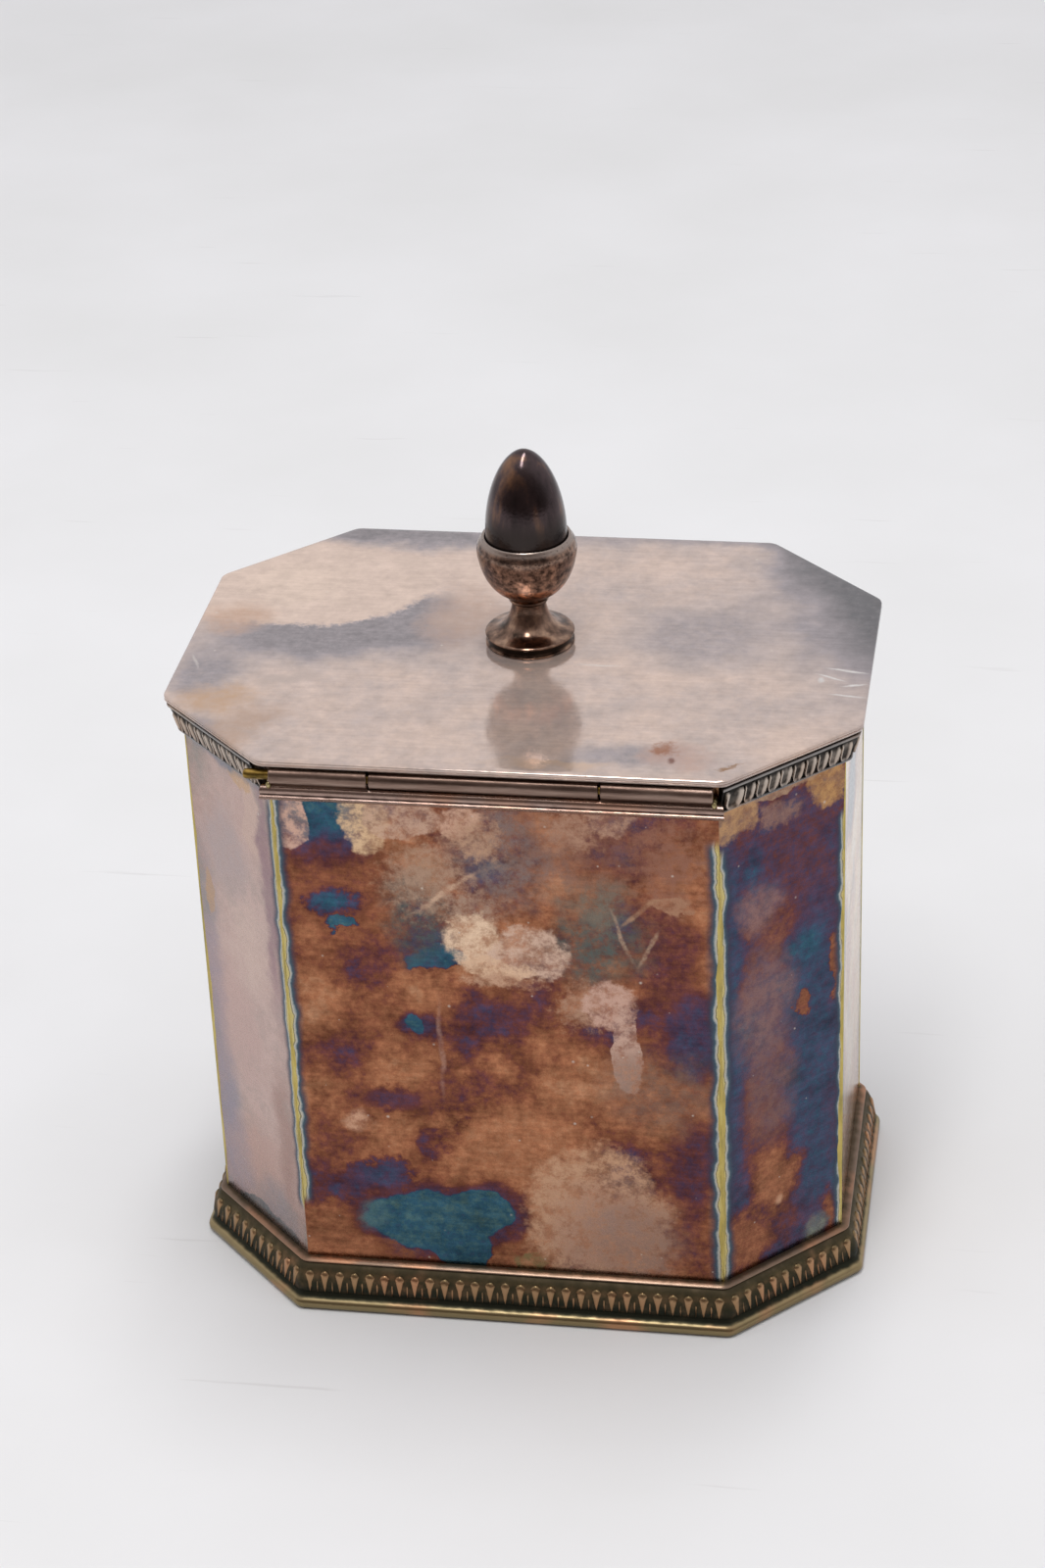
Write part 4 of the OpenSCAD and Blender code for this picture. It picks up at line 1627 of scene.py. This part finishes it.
@dataclass
class Hinge:
    """Long knuckle hinge on a ledge: two barrels on the box, one under the lid, and a wire pin."""

    plan: Plan
    steps: int = 28
    chamfer: float = 0.16
    web: float = 1.76
    pin_slack: float = 0.05
    bore_depth: float = 0.35
    seam_inset: float = 0.9

    def build(self) -> None:
        """Models the ledge, the three barrels and the pin."""
        self._ledge()
        # Drawn brass tube under worn plate: brownish silver, streaked along its length
        barrel = DrawnMetal(
            "worn plate on drawn hinge tube",
            light="#a48e82",
            middle="#806a5f",
            dark="#4c3d36",
            roughness=0.3,
            stretch=(0.06, 0.8, 0.8),
        ).material()
        self._barrel("knuckle_left_barrel", "knuckle_left", Body.BOX, -1, barrel)
        self._barrel("knuckle_right_barrel", "knuckle_right", Body.BOX, -1, barrel)
        self._barrel("lid_knuckle_barrel", "lid_knuckle", Body.LID, 1, barrel)
        self._pin()
        self._solder()
        log.info("hinge: ledge, three barrels, pin and solder")

    def _ledge(self) -> None:
        """Models the rounded strip under the knuckles, with a bead along its lower edge."""
        low, high = box_mm("hinge_ledge")
        out = high.y - self.plan.half_depth
        tall = high.z - low.z
        section = (
            (-0.8, 0.0, 0.3),
            (out * 0.55, 0.0, 0.4),
            (out * 0.74, 0.05, 0.9),
            (out * 0.92, 0.28, 1.0),
            (out, 0.62, 1.0),
            (out * 0.97, 0.95, 0.9),
            (out * 0.88, 1.15, 0.3),
            (out * 0.86, 1.3, 0.2),
            (out * 0.94, 1.5, 0.7),
            (out * 0.95, tall * 0.7, 0.8),
            (out * 0.86, tall * 0.88, 0.9),
            (out * 0.66, tall, 0.6),
            (-0.8, tall, 0.0),
        )
        rings = [
            [
                Vector((*self.plan.corners(away)[corner], low.z + up))
                for away, up, _ in section
            ]
            for corner in (3, 4)
        ]
        shape = sweep(rings, tuple(point[2] for point in section))
        finish = CastPatina(
            # Plated strip, pinkish and lighter along its lower edge, darker towards its top under the
            # barrels
            "rubbed plate on the hinge ledge",
            ridge=((0.0, "#c3a798"), (0.4, "#b0958a"), (1.0, "#9c8579")),
            hollow=((0.0, "#5b4640"), (1.0, "#3a302c")),
            low=low.z,
            high=high.z,
            roughness=0.3,
        )
        finish_piece(
            "hinge_ledge_strip", shape, finish.material(), Body.BOX, ("hinge_ledge",)
        )

    def _axis(self) -> tuple[float, float]:
        """Reads the depth and height of the hinge's axis from the pin's box."""
        low, high = box_mm("hinge_pin")
        return (low.y + high.y) / 2, (low.z + high.z) / 2

    def _barrel(
        self, name: str, node: str, body: Body, way: int, material: bpy.types.Material
    ) -> None:
        """Models one barrel: a rolled tube with its seam, its flat web and a blind hole in each end.

        Unlike the CAD node it is not bored through, so the pin cuts through the holes' two floors.

        Args:
            name: the piece's name.
            node: the CAD node that it stands for.
            body: the body that it rides on.
            way: 1 if its web goes up to the lid, -1 if it goes down to the ledge.
            material: its finish.
        """
        low, high = box_mm(node)
        depth, height = self._axis()
        radius = high.y - depth
        reach = (high.z - height) if way > 0 else (height - low.z)
        bore = (box_mm("hinge_pin")[1].z - box_mm("hinge_pin")[0].z) / 2 + self.pin_slack
        length = high.x - low.x
        rings = []
        ends = (
            (self.bore_depth, bore),
            (0.0, bore),
            (0.0, radius - self.chamfer),
            (self.chamfer, radius),
            (length - self.chamfer, radius),
            (length, radius - self.chamfer),
            (length, bore),
            (length - self.bore_depth, bore),
        )
        for along, size in ends:
            ring = []
            for step in range(self.steps):
                angle = way * math.pi / 2 + math.tau * (step + 0.5) / self.steps
                across, up = size * math.cos(angle), size * math.sin(angle)
                first, last = step == 0, step == self.steps - 1
                if (first or last) and size > bore:
                    # The web's two faces run straight from the tube to what it is soldered to
                    across = math.copysign(self.web / 2, across)
                    up = way * reach
                if step == self.steps - 2 and size > bore:
                    across, up = across * self.seam_inset, up * self.seam_inset
                ring.append(Vector((low.x + along, depth + across, height + up)))
            rings.append(ring)
        shape = sweep(rings)
        finish_piece(name, shape, material, body, (node,))

    def _pin(self) -> None:
        """Models the wire pin, with a domed and filed end."""
        low, high = box_mm("hinge_pin")
        depth, height = self._axis()
        radius = (high.z - low.z) / 2
        ends = (
            (low.x, radius - 0.1),
            (low.x + 0.1, radius),
            (high.x - 0.7, radius),
            (high.x - 0.3, radius * 0.93),
            (high.x - 0.08, radius * 0.72),
            (high.x, radius * 0.4),
        )
        rings = [
            [
                Vector((along, depth + size * math.cos(turn), height + size * math.sin(turn)))
                for turn in (math.tau * step / 20 for step in range(20))
            ]
            for along, size in ends
        ]
        # Drawn brass wire, browned and greenish in places
        finish = DrawnMetal(
            "browned brass wire",
            light="#b3914f",
            middle="#8d7238",
            dark="#4c3f22",
            roughness=0.3,
            stretch=(0.35, 0.9, 0.9),
            contrast=0.2,
        )
        shape = sweep(rings)
        finish_piece("hinge_wire", shape, finish.material(), Body.BOX, ("hinge_pin",))

    def _solder(self) -> None:
        """Models the solder blobs where the outer barrels' ends meet the ledge."""
        shape = bmesh.new()
        draw = random.Random(5)
        ledge_top = box_mm("hinge_ledge")[1].z
        depth = self._axis()[0]
        places = box_mm("knuckle_left")[0].x - 0.15, box_mm("knuckle_right")[1].x + 0.15
        for along in places:
            for blob in range(3):
                before = len(shape.verts)
                bmesh.ops.create_icosphere(shape, subdivisions=2, radius=1.0)
                shape.verts.ensure_lookup_table()
                fresh = shape.verts[before:]
                size = Vector((0.5, 0.9 - 0.15 * blob, 0.75)) * draw.uniform(0.85, 1.1)
                for vert in fresh:
                    vert.co *= draw.uniform(0.9, 1.06)
                bmesh.ops.smooth_vert(
                    shape, verts=fresh, factor=0.5, use_axis_x=True, use_axis_y=True, use_axis_z=True
                )
                bmesh.ops.scale(shape, vec=size, verts=fresh)
                place = Vector((along, depth - 0.9 + 0.8 * blob, ledge_top + 0.25 + 0.25 * (blob % 2)))
                bmesh.ops.translate(shape, vec=place, verts=fresh)
        # Lumpy soft solder, yellowed and dull
        finish = DrawnMetal(
            "lumpy soft solder",
            light="#cdbf8f",
            middle="#a89a6e",
            dark="#6b6145",
            roughness=0.42,
            stretch=(1.2, 1.2, 1.2),
        )
        finish_piece("hinge_solder", shape, finish.material(), Body.BOX)


@dataclass
class Lid:
    """Flat lid of doubled sheet: the top turns down over a hem, with a dark line between the two."""

    plan: Plan
    corner_radius: float = 3.0
    marks: tuple[Mark, ...] = (
        Mark(-34, 1, 24, 9, film=0.82, edge=Edge.SOFT, turn=8),
        Mark(-24, 10, 9, 5, film=0.8, edge=Edge.SOFT, turn=40),
        Mark(-14, 30, 18, 11, film=0.2, edge=Edge.SOFT),
        Mark(-46, 24, 26, 20, film=0.14, edge=Edge.SHARP),
        Mark(-46, 20, 9, 8, film=0.0, edge=Edge.SOFT),
        Mark(-34, 44, 34, 7, film=0.86, edge=Edge.SOFT, turn=-4),
        Mark(26, 46, 44, 5, film=0.7, edge=Edge.SOFT),
        Mark(68, 24, 24, 36, film=1.0, edge=Edge.SOFT, turn=4),
        Mark(54, 42, 16, 14, film=1.0, edge=Edge.SOFT),
        Mark(30, 6, 12, 12, film=0.66, edge=Edge.SOFT),
        Mark(22, -37, 10, 4, film=0.7, edge=Edge.SOFT),
        Mark(-54, -14, 6, 8, film=0.74, edge=Edge.SOFT),
        Mark(-52, -36, 5, 6, film=0.7, edge=Edge.SOFT),
        Mark(-50, -24, 6, 5, colour="#c3a184", edge=Edge.SOFT, strength=0.9),
        Mark(-44, -33, 4, 9, colour="#b79a86", edge=Edge.SOFT, turn=-35, strength=0.8),
        Mark(-54, 6, 6, 5, colour="#c49f86", edge=Edge.SOFT, strength=0.7),
        Mark(-14, 9, 6, 11, colour="#bc9c88", edge=Edge.SOFT, strength=0.6),
        Mark(-39, -15, 5, 2.4, colour="#bdaca3", edge=Edge.SOFT, turn=25),
        Mark(30, -37, 5, 4, colour="#c3a191", edge=Edge.SOFT, strength=0.7),
        Mark(10, -41, 9, 1.2, colour="#cfb49f", edge=Edge.SOFT),
        Mark(28.6, -34.6, 1.5, 2.0, colour="#9c6a50", edge=Edge.SPECKLED),
        Mark(29.4, -38, 0.5, 1.0, colour="#6e3c2c", edge=Edge.LINE),
        Mark(39, -39, 1.8, 0.5, colour="#946e4e", edge=Edge.SPECKLED, turn=20),
        Mark(13, -6, 3.0, 0.25, colour="#e0d8d0", edge=Edge.LINE, strength=0.7),
        Mark(56, -4.4, 3.0, 0.3, colour="#ddd8d4", edge=Edge.LINE, turn=-8),
        Mark(53.2, -7, 2.2, 0.25, colour="#ddd8d4", edge=Edge.LINE, turn=-24),
        Mark(57.4, -9.4, 1.8, 0.3, colour="#ddd8d4", edge=Edge.LINE, turn=10),
        Mark(51.6, -8, 0.5, 0.8, colour="#d5d0cc", edge=Edge.LINE),
        Mark(56.5, -13, 2.6, 0.3, colour="#ddd8d4", edge=Edge.LINE, turn=-6),
        Mark(-57, -10.5, 0.3, 2.4, colour="#cfc6c0", edge=Edge.LINE, turn=20, strength=0.7),
    )

    def build(self) -> None:
        """Models the lid plate, with no hole for the stud, and dresses the flange below it."""
        low, high = box_mm("lid_plate")
        over = high.x - self.plan.half_width
        # Inwards from the edge, and up from the underside
        edge = (
            (0.9, 0.0),
            (0.35, 0.0),
            (0.1, 0.08),
            (0.0, 0.24),
            (0.04, 0.4),
            (0.2, 0.5),
            (0.2, 0.56),
            (0.03, 0.66),
            (0.0, 0.84),
            (0.07, 1.03),
            (0.25, 1.15),
            (0.55, 1.2),
            (1.4, 1.2),
            (4.0, 1.2),
        )
        rings = [
            [
                Vector((*point, low.z + up))
                for point in self.plan.rounded(over - inward, max(0.4, self.corner_radius - inward))
            ]
            for inward, up in edge
        ]
        shape = sweep(rings)
        sheet = TarnishedSheet(
            # Plated sheet, rubbed by hand: satin, taupe and pinkish, with grain along its length
            "handled silver plate of the lid",
            turned=Euler((0.0, 0.0, math.pi)),
            inner=low.z + 0.05,
            film=0.37,
            film_spread=0.19,
            colours=HANDLED_FILM,
            marks=self.marks,
            metallic=0.55,
            roughness=0.08,
            rub=(0.3, 1.0),
            speck_share=0.12,
            mottle=0.17,
            smears=0.04,
        )
        finish_piece("lid_sheet", shape, sheet.material(), Body.LID, ("lid_plate",))
        # Underside flange: plate gone dull brown where it is never rubbed
        flange = DrawnMetal(
            "dull plate under the lid", light="#94857a", middle="#75685e", dark="#50463f", roughness=0.42
        )
        dress_node("lid_bezel", flange.material())
        log.info("lid: hemmed sheet and flange")


@dataclass
class Finial:
    """Acorn finial in three turned parts: spread foot, cup with a thin lip, and polished nut."""

    steps: int = 72
    tip_sharpness: float = 1.1
    stud_slack: float = 0.1

    def build(self) -> None:
        """Models the foot, the cup and the nut on the stud's axis."""
        low, high = box_mm("finial_stud")
        axis = Vector(((low.x + high.x) / 2, (low.y + high.y) / 2, 0.0))
        bore = (high.x - low.x) / 2 + self.stud_slack
        self._foot(axis, bore)
        self._cup(axis, bore)
        self._nut(axis)
        log.info("finial: foot, cup and nut")

    def _foot(self, axis: Vector, bore: float) -> None:
        """Models the foot: a thick disc with rolled edges, sweeping up to the stem and its ring.

        Args:
            axis: a point on the finial's axis.
            bore: radius of the hole for the stud.
        """
        low, high = box_mm("finial_foot")
        profile = [
            (bore, 0.0),
            (7.45, 0.0),
            (7.7, 0.1),
            (7.8, 0.3),
            (7.72, 0.5),
            (7.5, 0.62),
            (7.42, 0.9),
            (7.44, 1.5),
            (7.6, 1.68),
            (7.8, 1.82),
            (7.82, 2.02),
            (7.66, 2.2),
            (7.3, 2.28),
            (6.6, 2.42),
            (5.8, 2.68),
            (5.05, 3.1),
            (4.4, 3.7),
            (3.85, 4.5),
            (3.45, 5.4),
            (3.15, 6.4),
            (2.98, 7.3),
            (2.92, 7.8),
            (3.0, 7.92),
            (3.36, 8.05),
            (3.5, 8.3),
            (3.38, 8.56),
            (3.02, 8.72),
            (2.9, high.z - low.z),
            (bore, high.z - low.z),
            (bore, 0.0),
        ]
        shape = spin_up([(radius, low.z + up) for radius, up in profile], axis, self.steps)
        # Turned brass under thin brown-black film, glossy, with mottled warm patches
        finish = DrawnMetal(
            "brown film on the turned foot",
            light="#b4937c",
            middle="#84695a",
            dark="#43362e",
            roughness=0.16,
            stretch=(0.4, 0.4, 0.25),
            contrast=0.16,
            bands=(Band(low.z + 0.3, low.z + 2.0, "#1d1a17"),),
        )
        finish_piece(
            "finial_foot_turned", shape, finish.material(), Body.LID, ("finial_foot",)
        )

    def _cup(self, axis: Vector, bore: float) -> None:
        """Models the cup: bowl, rounded shoulder and the thin bright lip round the nut.

        Args:
            axis: a point on the finial's axis.
            bore: radius of the hole for the stud.
        """
        low, high = box_mm("acorn_cup")
        top = high.z - low.z
        widest = high.x - axis.x
        profile = [
            (bore, 0.0),
            (2.9, 0.0),
            (3.85, 0.38),
            (4.71, 0.88),
            (5.49, 1.48),
            (6.19, 2.19),
            (6.81, 3.01),
            (7.35, 3.95),
            (7.81, 4.99),
            (8.19, 6.14),
            (8.48, 7.4),
            (8.64, 8.2),
            (widest, 9.0),
            (8.66, 9.6),
            (8.54, 10.15),
            (8.34, 10.62),
            (8.08, 11.02),
            (7.86, 11.3),
            (7.78, 11.52),
            (7.62, 11.66),
            (7.44, top),
            (7.27, 11.62),
            (7.16, 11.4),
            (7.12, 9.7),
            (bore, 9.7),
            (bore, 0.0),
        ]
        shape = spin_up([(radius, low.z + up) for radius, up in profile], axis, self.steps)
        # Turned and pitted: brown mottle with many fine pits, and a coppery band low down, broken by the
        # film, that is a painted highlight
        finish = DrawnMetal(
            "pitted brown film on the cup",
            light="#a98a78",
            middle="#7f685c",
            dark="#43352e",
            roughness=0.22,
            stretch=(0.9, 0.9, 0.9),
            contrast=0.14,
            pit_share=1.0,
            pit_depth=2.0,
            bands=(
                # Painted copper highlight round the lower bowl
                Band(low.z + 1.6, low.z + 4.2, "#d58f68", whole=False),
                Band(high.z - 1.3, high.z + 1.1, "#a2938a"),
            ),
        )
        finish_piece(
            "acorn_cup_turned", shape, finish.material(), Body.LID, ("acorn_cup",)
        )

    def _nut(self, axis: Vector) -> None:
        """Models the egg-shaped nut with its pointed top, solid where the CAD node is tapped.

        Args:
            axis: a point on the finial's axis.
        """
        low, high = box_mm("acorn_nut")
        radius = high.x - axis.x
        seat = box_mm("acorn_cup")[1].z
        rise = high.z - seat
        profile = [(0.0, low.z), (radius - 0.25, low.z), (radius, low.z + 0.25), (radius, seat - 0.6)]
        rows = 30
        for row in range(rows):
            angle = math.pi / 2 * row / rows
            profile.append((radius * math.cos(angle) ** self.tip_sharpness, seat + rise * math.sin(angle)))
        profile.append((0.0, high.z))
        shape = spin_up(profile, axis, self.steps)
        # Polished and evenly darkened: near black brown with a purple cast, very glossy; a darker band
        # over its lower part, above the cup, is painted shade
        finish = DrawnMetal(
            "polished dark film on the nut",
            light="#93705a",
            middle="#574a4b",
            dark="#3f3738",
            roughness=0.13,
            stretch=(0.25, 0.25, 0.06),
            contrast=0.17,
            # Painted shade: a darker band over the nut's lower part, just above the cup
            bands=(Band(seat - 7.0, seat + 7.0, "#37312f"),),
        )
        finish_piece(
            "acorn_nut_turned", shape, finish.material(), Body.LID, ("acorn_nut",)
        )


@dataclass
class Fixings:
    """What holds the finial under the lid: stud, washer and chamfered hexagonal nut."""

    chamfer: float = 0.35
    stud_slack: float = 0.1

    def build(self) -> None:
        """Models the nut, solid where the CAD node is bored, and the washer, and dresses the stud."""
        # Bare machined brass, dulled to brown-gold
        brass = DrawnMetal(
            "dulled machined brass", light="#c0a05c", middle="#96793f", dark="#5f4b28", roughness=0.3
        ).material()
        low, high = box_mm("finial_fixing_nut")
        axis = Vector(((low.x + high.x) / 2, (low.y + high.y) / 2, 0.0))
        half = (high.x - low.x) / 2
        tall = high.z - low.z
        rings = []
        for up, size in ((0.0, half - self.chamfer), (self.chamfer * 0.6, half), (tall, half)):
            turns = [math.tau * step / 6 for step in range(6)]
            rings.append(
                [axis + Vector((size * math.cos(t), size * math.sin(t), low.z + up)) for t in turns]
            )
        shape = sweep(rings)
        finish_piece("finial_hex_nut", shape, brass, Body.LID, ("finial_fixing_nut",))
        low, high = box_mm("finial_washer")
        outer = (high.x - low.x) / 2
        tall = high.z - low.z
        hole = (box_mm("finial_stud")[1].x - box_mm("finial_stud")[0].x) / 2 + self.stud_slack
        profile = [
            (hole, 0.0),
            (outer - 0.15, 0.0),
            (outer, 0.15),
            (outer, tall - 0.1),
            (outer - 0.1, tall),
            (hole, tall),
            (hole, 0.0),
        ]
        shape = spin_up([(radius, low.z + up) for radius, up in profile], axis, 40)
        finish_piece("finial_washer_disc", shape, brass, Body.LID, ("finial_washer",))
        dress_node("finial_stud", brass)
        under = DrawnMetal(
            # Base plate, never rubbed: dull grey-brown
            "dull plate of the base", light="#9a8d80", middle="#786c61", dark="#544a42", roughness=0.45
        )
        dress_node("base_plate", under.material())
        log.info("fixings: hexagonal nut, washer and stud")


# ---------------------------------------------------------------------------------------------
# Studio
# ---------------------------------------------------------------------------------------------


@dataclass
class Studio:
    """White board, soft light from above and a camera to the hinge side."""

    azimuth: float = 10.07
    elevation: float = 30.07
    roll: float = -2.42
    distance: float = 642.7
    lens: float = 82.71
    target: tuple[float, float, float] = (2.07, 0.0, 86.05)

    def camera(self) -> None:
        """Sets the camera up, on the +Y side and looking down on the lid."""
        turn, rise, roll = (math.radians(x) for x in (self.azimuth, self.elevation, self.roll))
        back = Vector(
            (-math.sin(turn) * math.cos(rise), math.cos(turn) * math.cos(rise), math.sin(rise))
        )
        right = (-back).cross(Vector((0.0, 0.0, 1.0))).normalized()
        up = right.cross(-back)
        across = right * math.cos(roll) + up * math.sin(roll)
        upward = up * math.cos(roll) - right * math.sin(roll)
        data = bpy.data.cameras.new("camera")
        data.lens = self.lens
        data.sensor_width = 36.0
        data.clip_start, data.clip_end = 0.01, 50.0
        camera = bpy.data.objects.new("camera", data)
        place = (Vector(self.target) + back * self.distance) * MM
        turned = Matrix((across, upward, back)).transposed().to_4x4()
        camera.matrix_world = Matrix.Translation(place) @ turned
        bpy.context.scene.collection.objects.link(camera)
        bpy.context.scene.camera = camera

    def floor(self) -> None:
        """Lays the board, a disc of 6 m, under the caddy."""
        shape = bmesh.new()
        bmesh.ops.create_circle(shape, cap_ends=True, segments=96, radius=3.0)
        mesh = bpy.data.meshes.new("floor")
        shape.to_mesh(mesh)
        shape.free()
        mesh.materials.append(PaintedBoard().material())
        board = bpy.data.objects.new("floor", mesh)
        bpy.context.scene.collection.objects.link(board)

    def lamp(
        self,
        name: str,
        place: tuple[float, float, float],
        size: tuple[float, float],
        power: float,
        mirrored: bool = True,
    ) -> None:
        """Hangs one soft lamp that points at the caddy.

        Args:
            name: the lamp's name.
            place: where it hangs, in metres.
            size: its width and height, in metres.
            power: its power in watts.
            mirrored: whether the polished metal shows it.
        """
        data = bpy.data.lights.new(name, "AREA")
        data.shape = "RECTANGLE"
        data.size, data.size_y = size
        data.energy = power
        lamp = bpy.data.objects.new(name, data)
        lamp.visible_glossy = mirrored
        aim = Vector((0.0, 0.0, 0.08)) - Vector(place)
        lamp.matrix_world = Matrix.Translation(place) @ aim.to_track_quat("-Z", "Y").to_matrix().to_4x4()
        bpy.context.scene.collection.objects.link(lamp)

    def surroundings(self) -> None:
        """Makes a white studio whose hinge side, behind the camera, is a dark room."""
        world = bpy.data.worlds.new("studio")
        bpy.context.scene.world = world
        world.use_nodes = True
        tree = world.node_tree
        tree.nodes.clear()
        place = add_node(tree, Kind.PLACE)
        split = add_node(tree, Kind.SPLIT, {0: place.outputs["Generated"]})
        level = {0: split.outputs[2], 1: -0.75, 2: split.outputs[1]}
        level = add_node(tree, Kind.MATH, level, operation="MULTIPLY_ADD")
        stops = ((0.0, "#dedee1"), (0.42, "#d6d5d7"), (0.58, "#9c9493"), (0.75, "#6f6663"))
        share = {"Value": level.outputs[0], "From Min": -1.0, "From Max": 1.0}
        share = add_node(tree, Kind.RANGE, share)
        room = add_node(tree, Kind.RAMP, {0: share.outputs[0]}, stops)
        sky = add_node(tree, "ShaderNodeBackground", {0: room.outputs[0], "Strength": 1.0})
        add_node(tree, "ShaderNodeOutputWorld", {"Surface": sky.outputs[0]})

    def build(self) -> None:
        """Sets up the whole studio."""
        scene = bpy.context.scene
        scene.view_settings.view_transform = "Standard"
        scene.view_settings.look = "None"
        self.camera()
        self.floor()
        self.surroundings()
        self.lamp("overhead", (0.02, 0.1, 1.3), (0.2, 1.2), 8.0)
        self.lamp("left_fill", (0.9, 0.5, 0.9), (0.8, 0.8), 1.8, mirrored=False)
        self.lamp("front_fill", (0.0, 1.3, 0.5), (1.2, 0.6), 1.6, mirrored=False)
        self.lamp("right_fill", (-0.9, 0.5, 0.9), (0.8, 0.8), 1.2, mirrored=False)
        log.info("studio: board, surroundings, four lamps and camera")


def main() -> None:
    """Builds the studio and each sub-assembly in order."""
    logging.basicConfig(level=logging.INFO, format="%(message)s")
    plan = Plan.from_walls()
    Studio().build()
    Walls(plan).dress()
    CornerSeams(plan).build()
    BaseMoulding(plan).build()
    RimMoulding(plan).build()
    Hinge(plan).build()
    Lid(plan).build()
    Finial().build()
    Fixings().build()


if __name__ == "__main__":
    main()
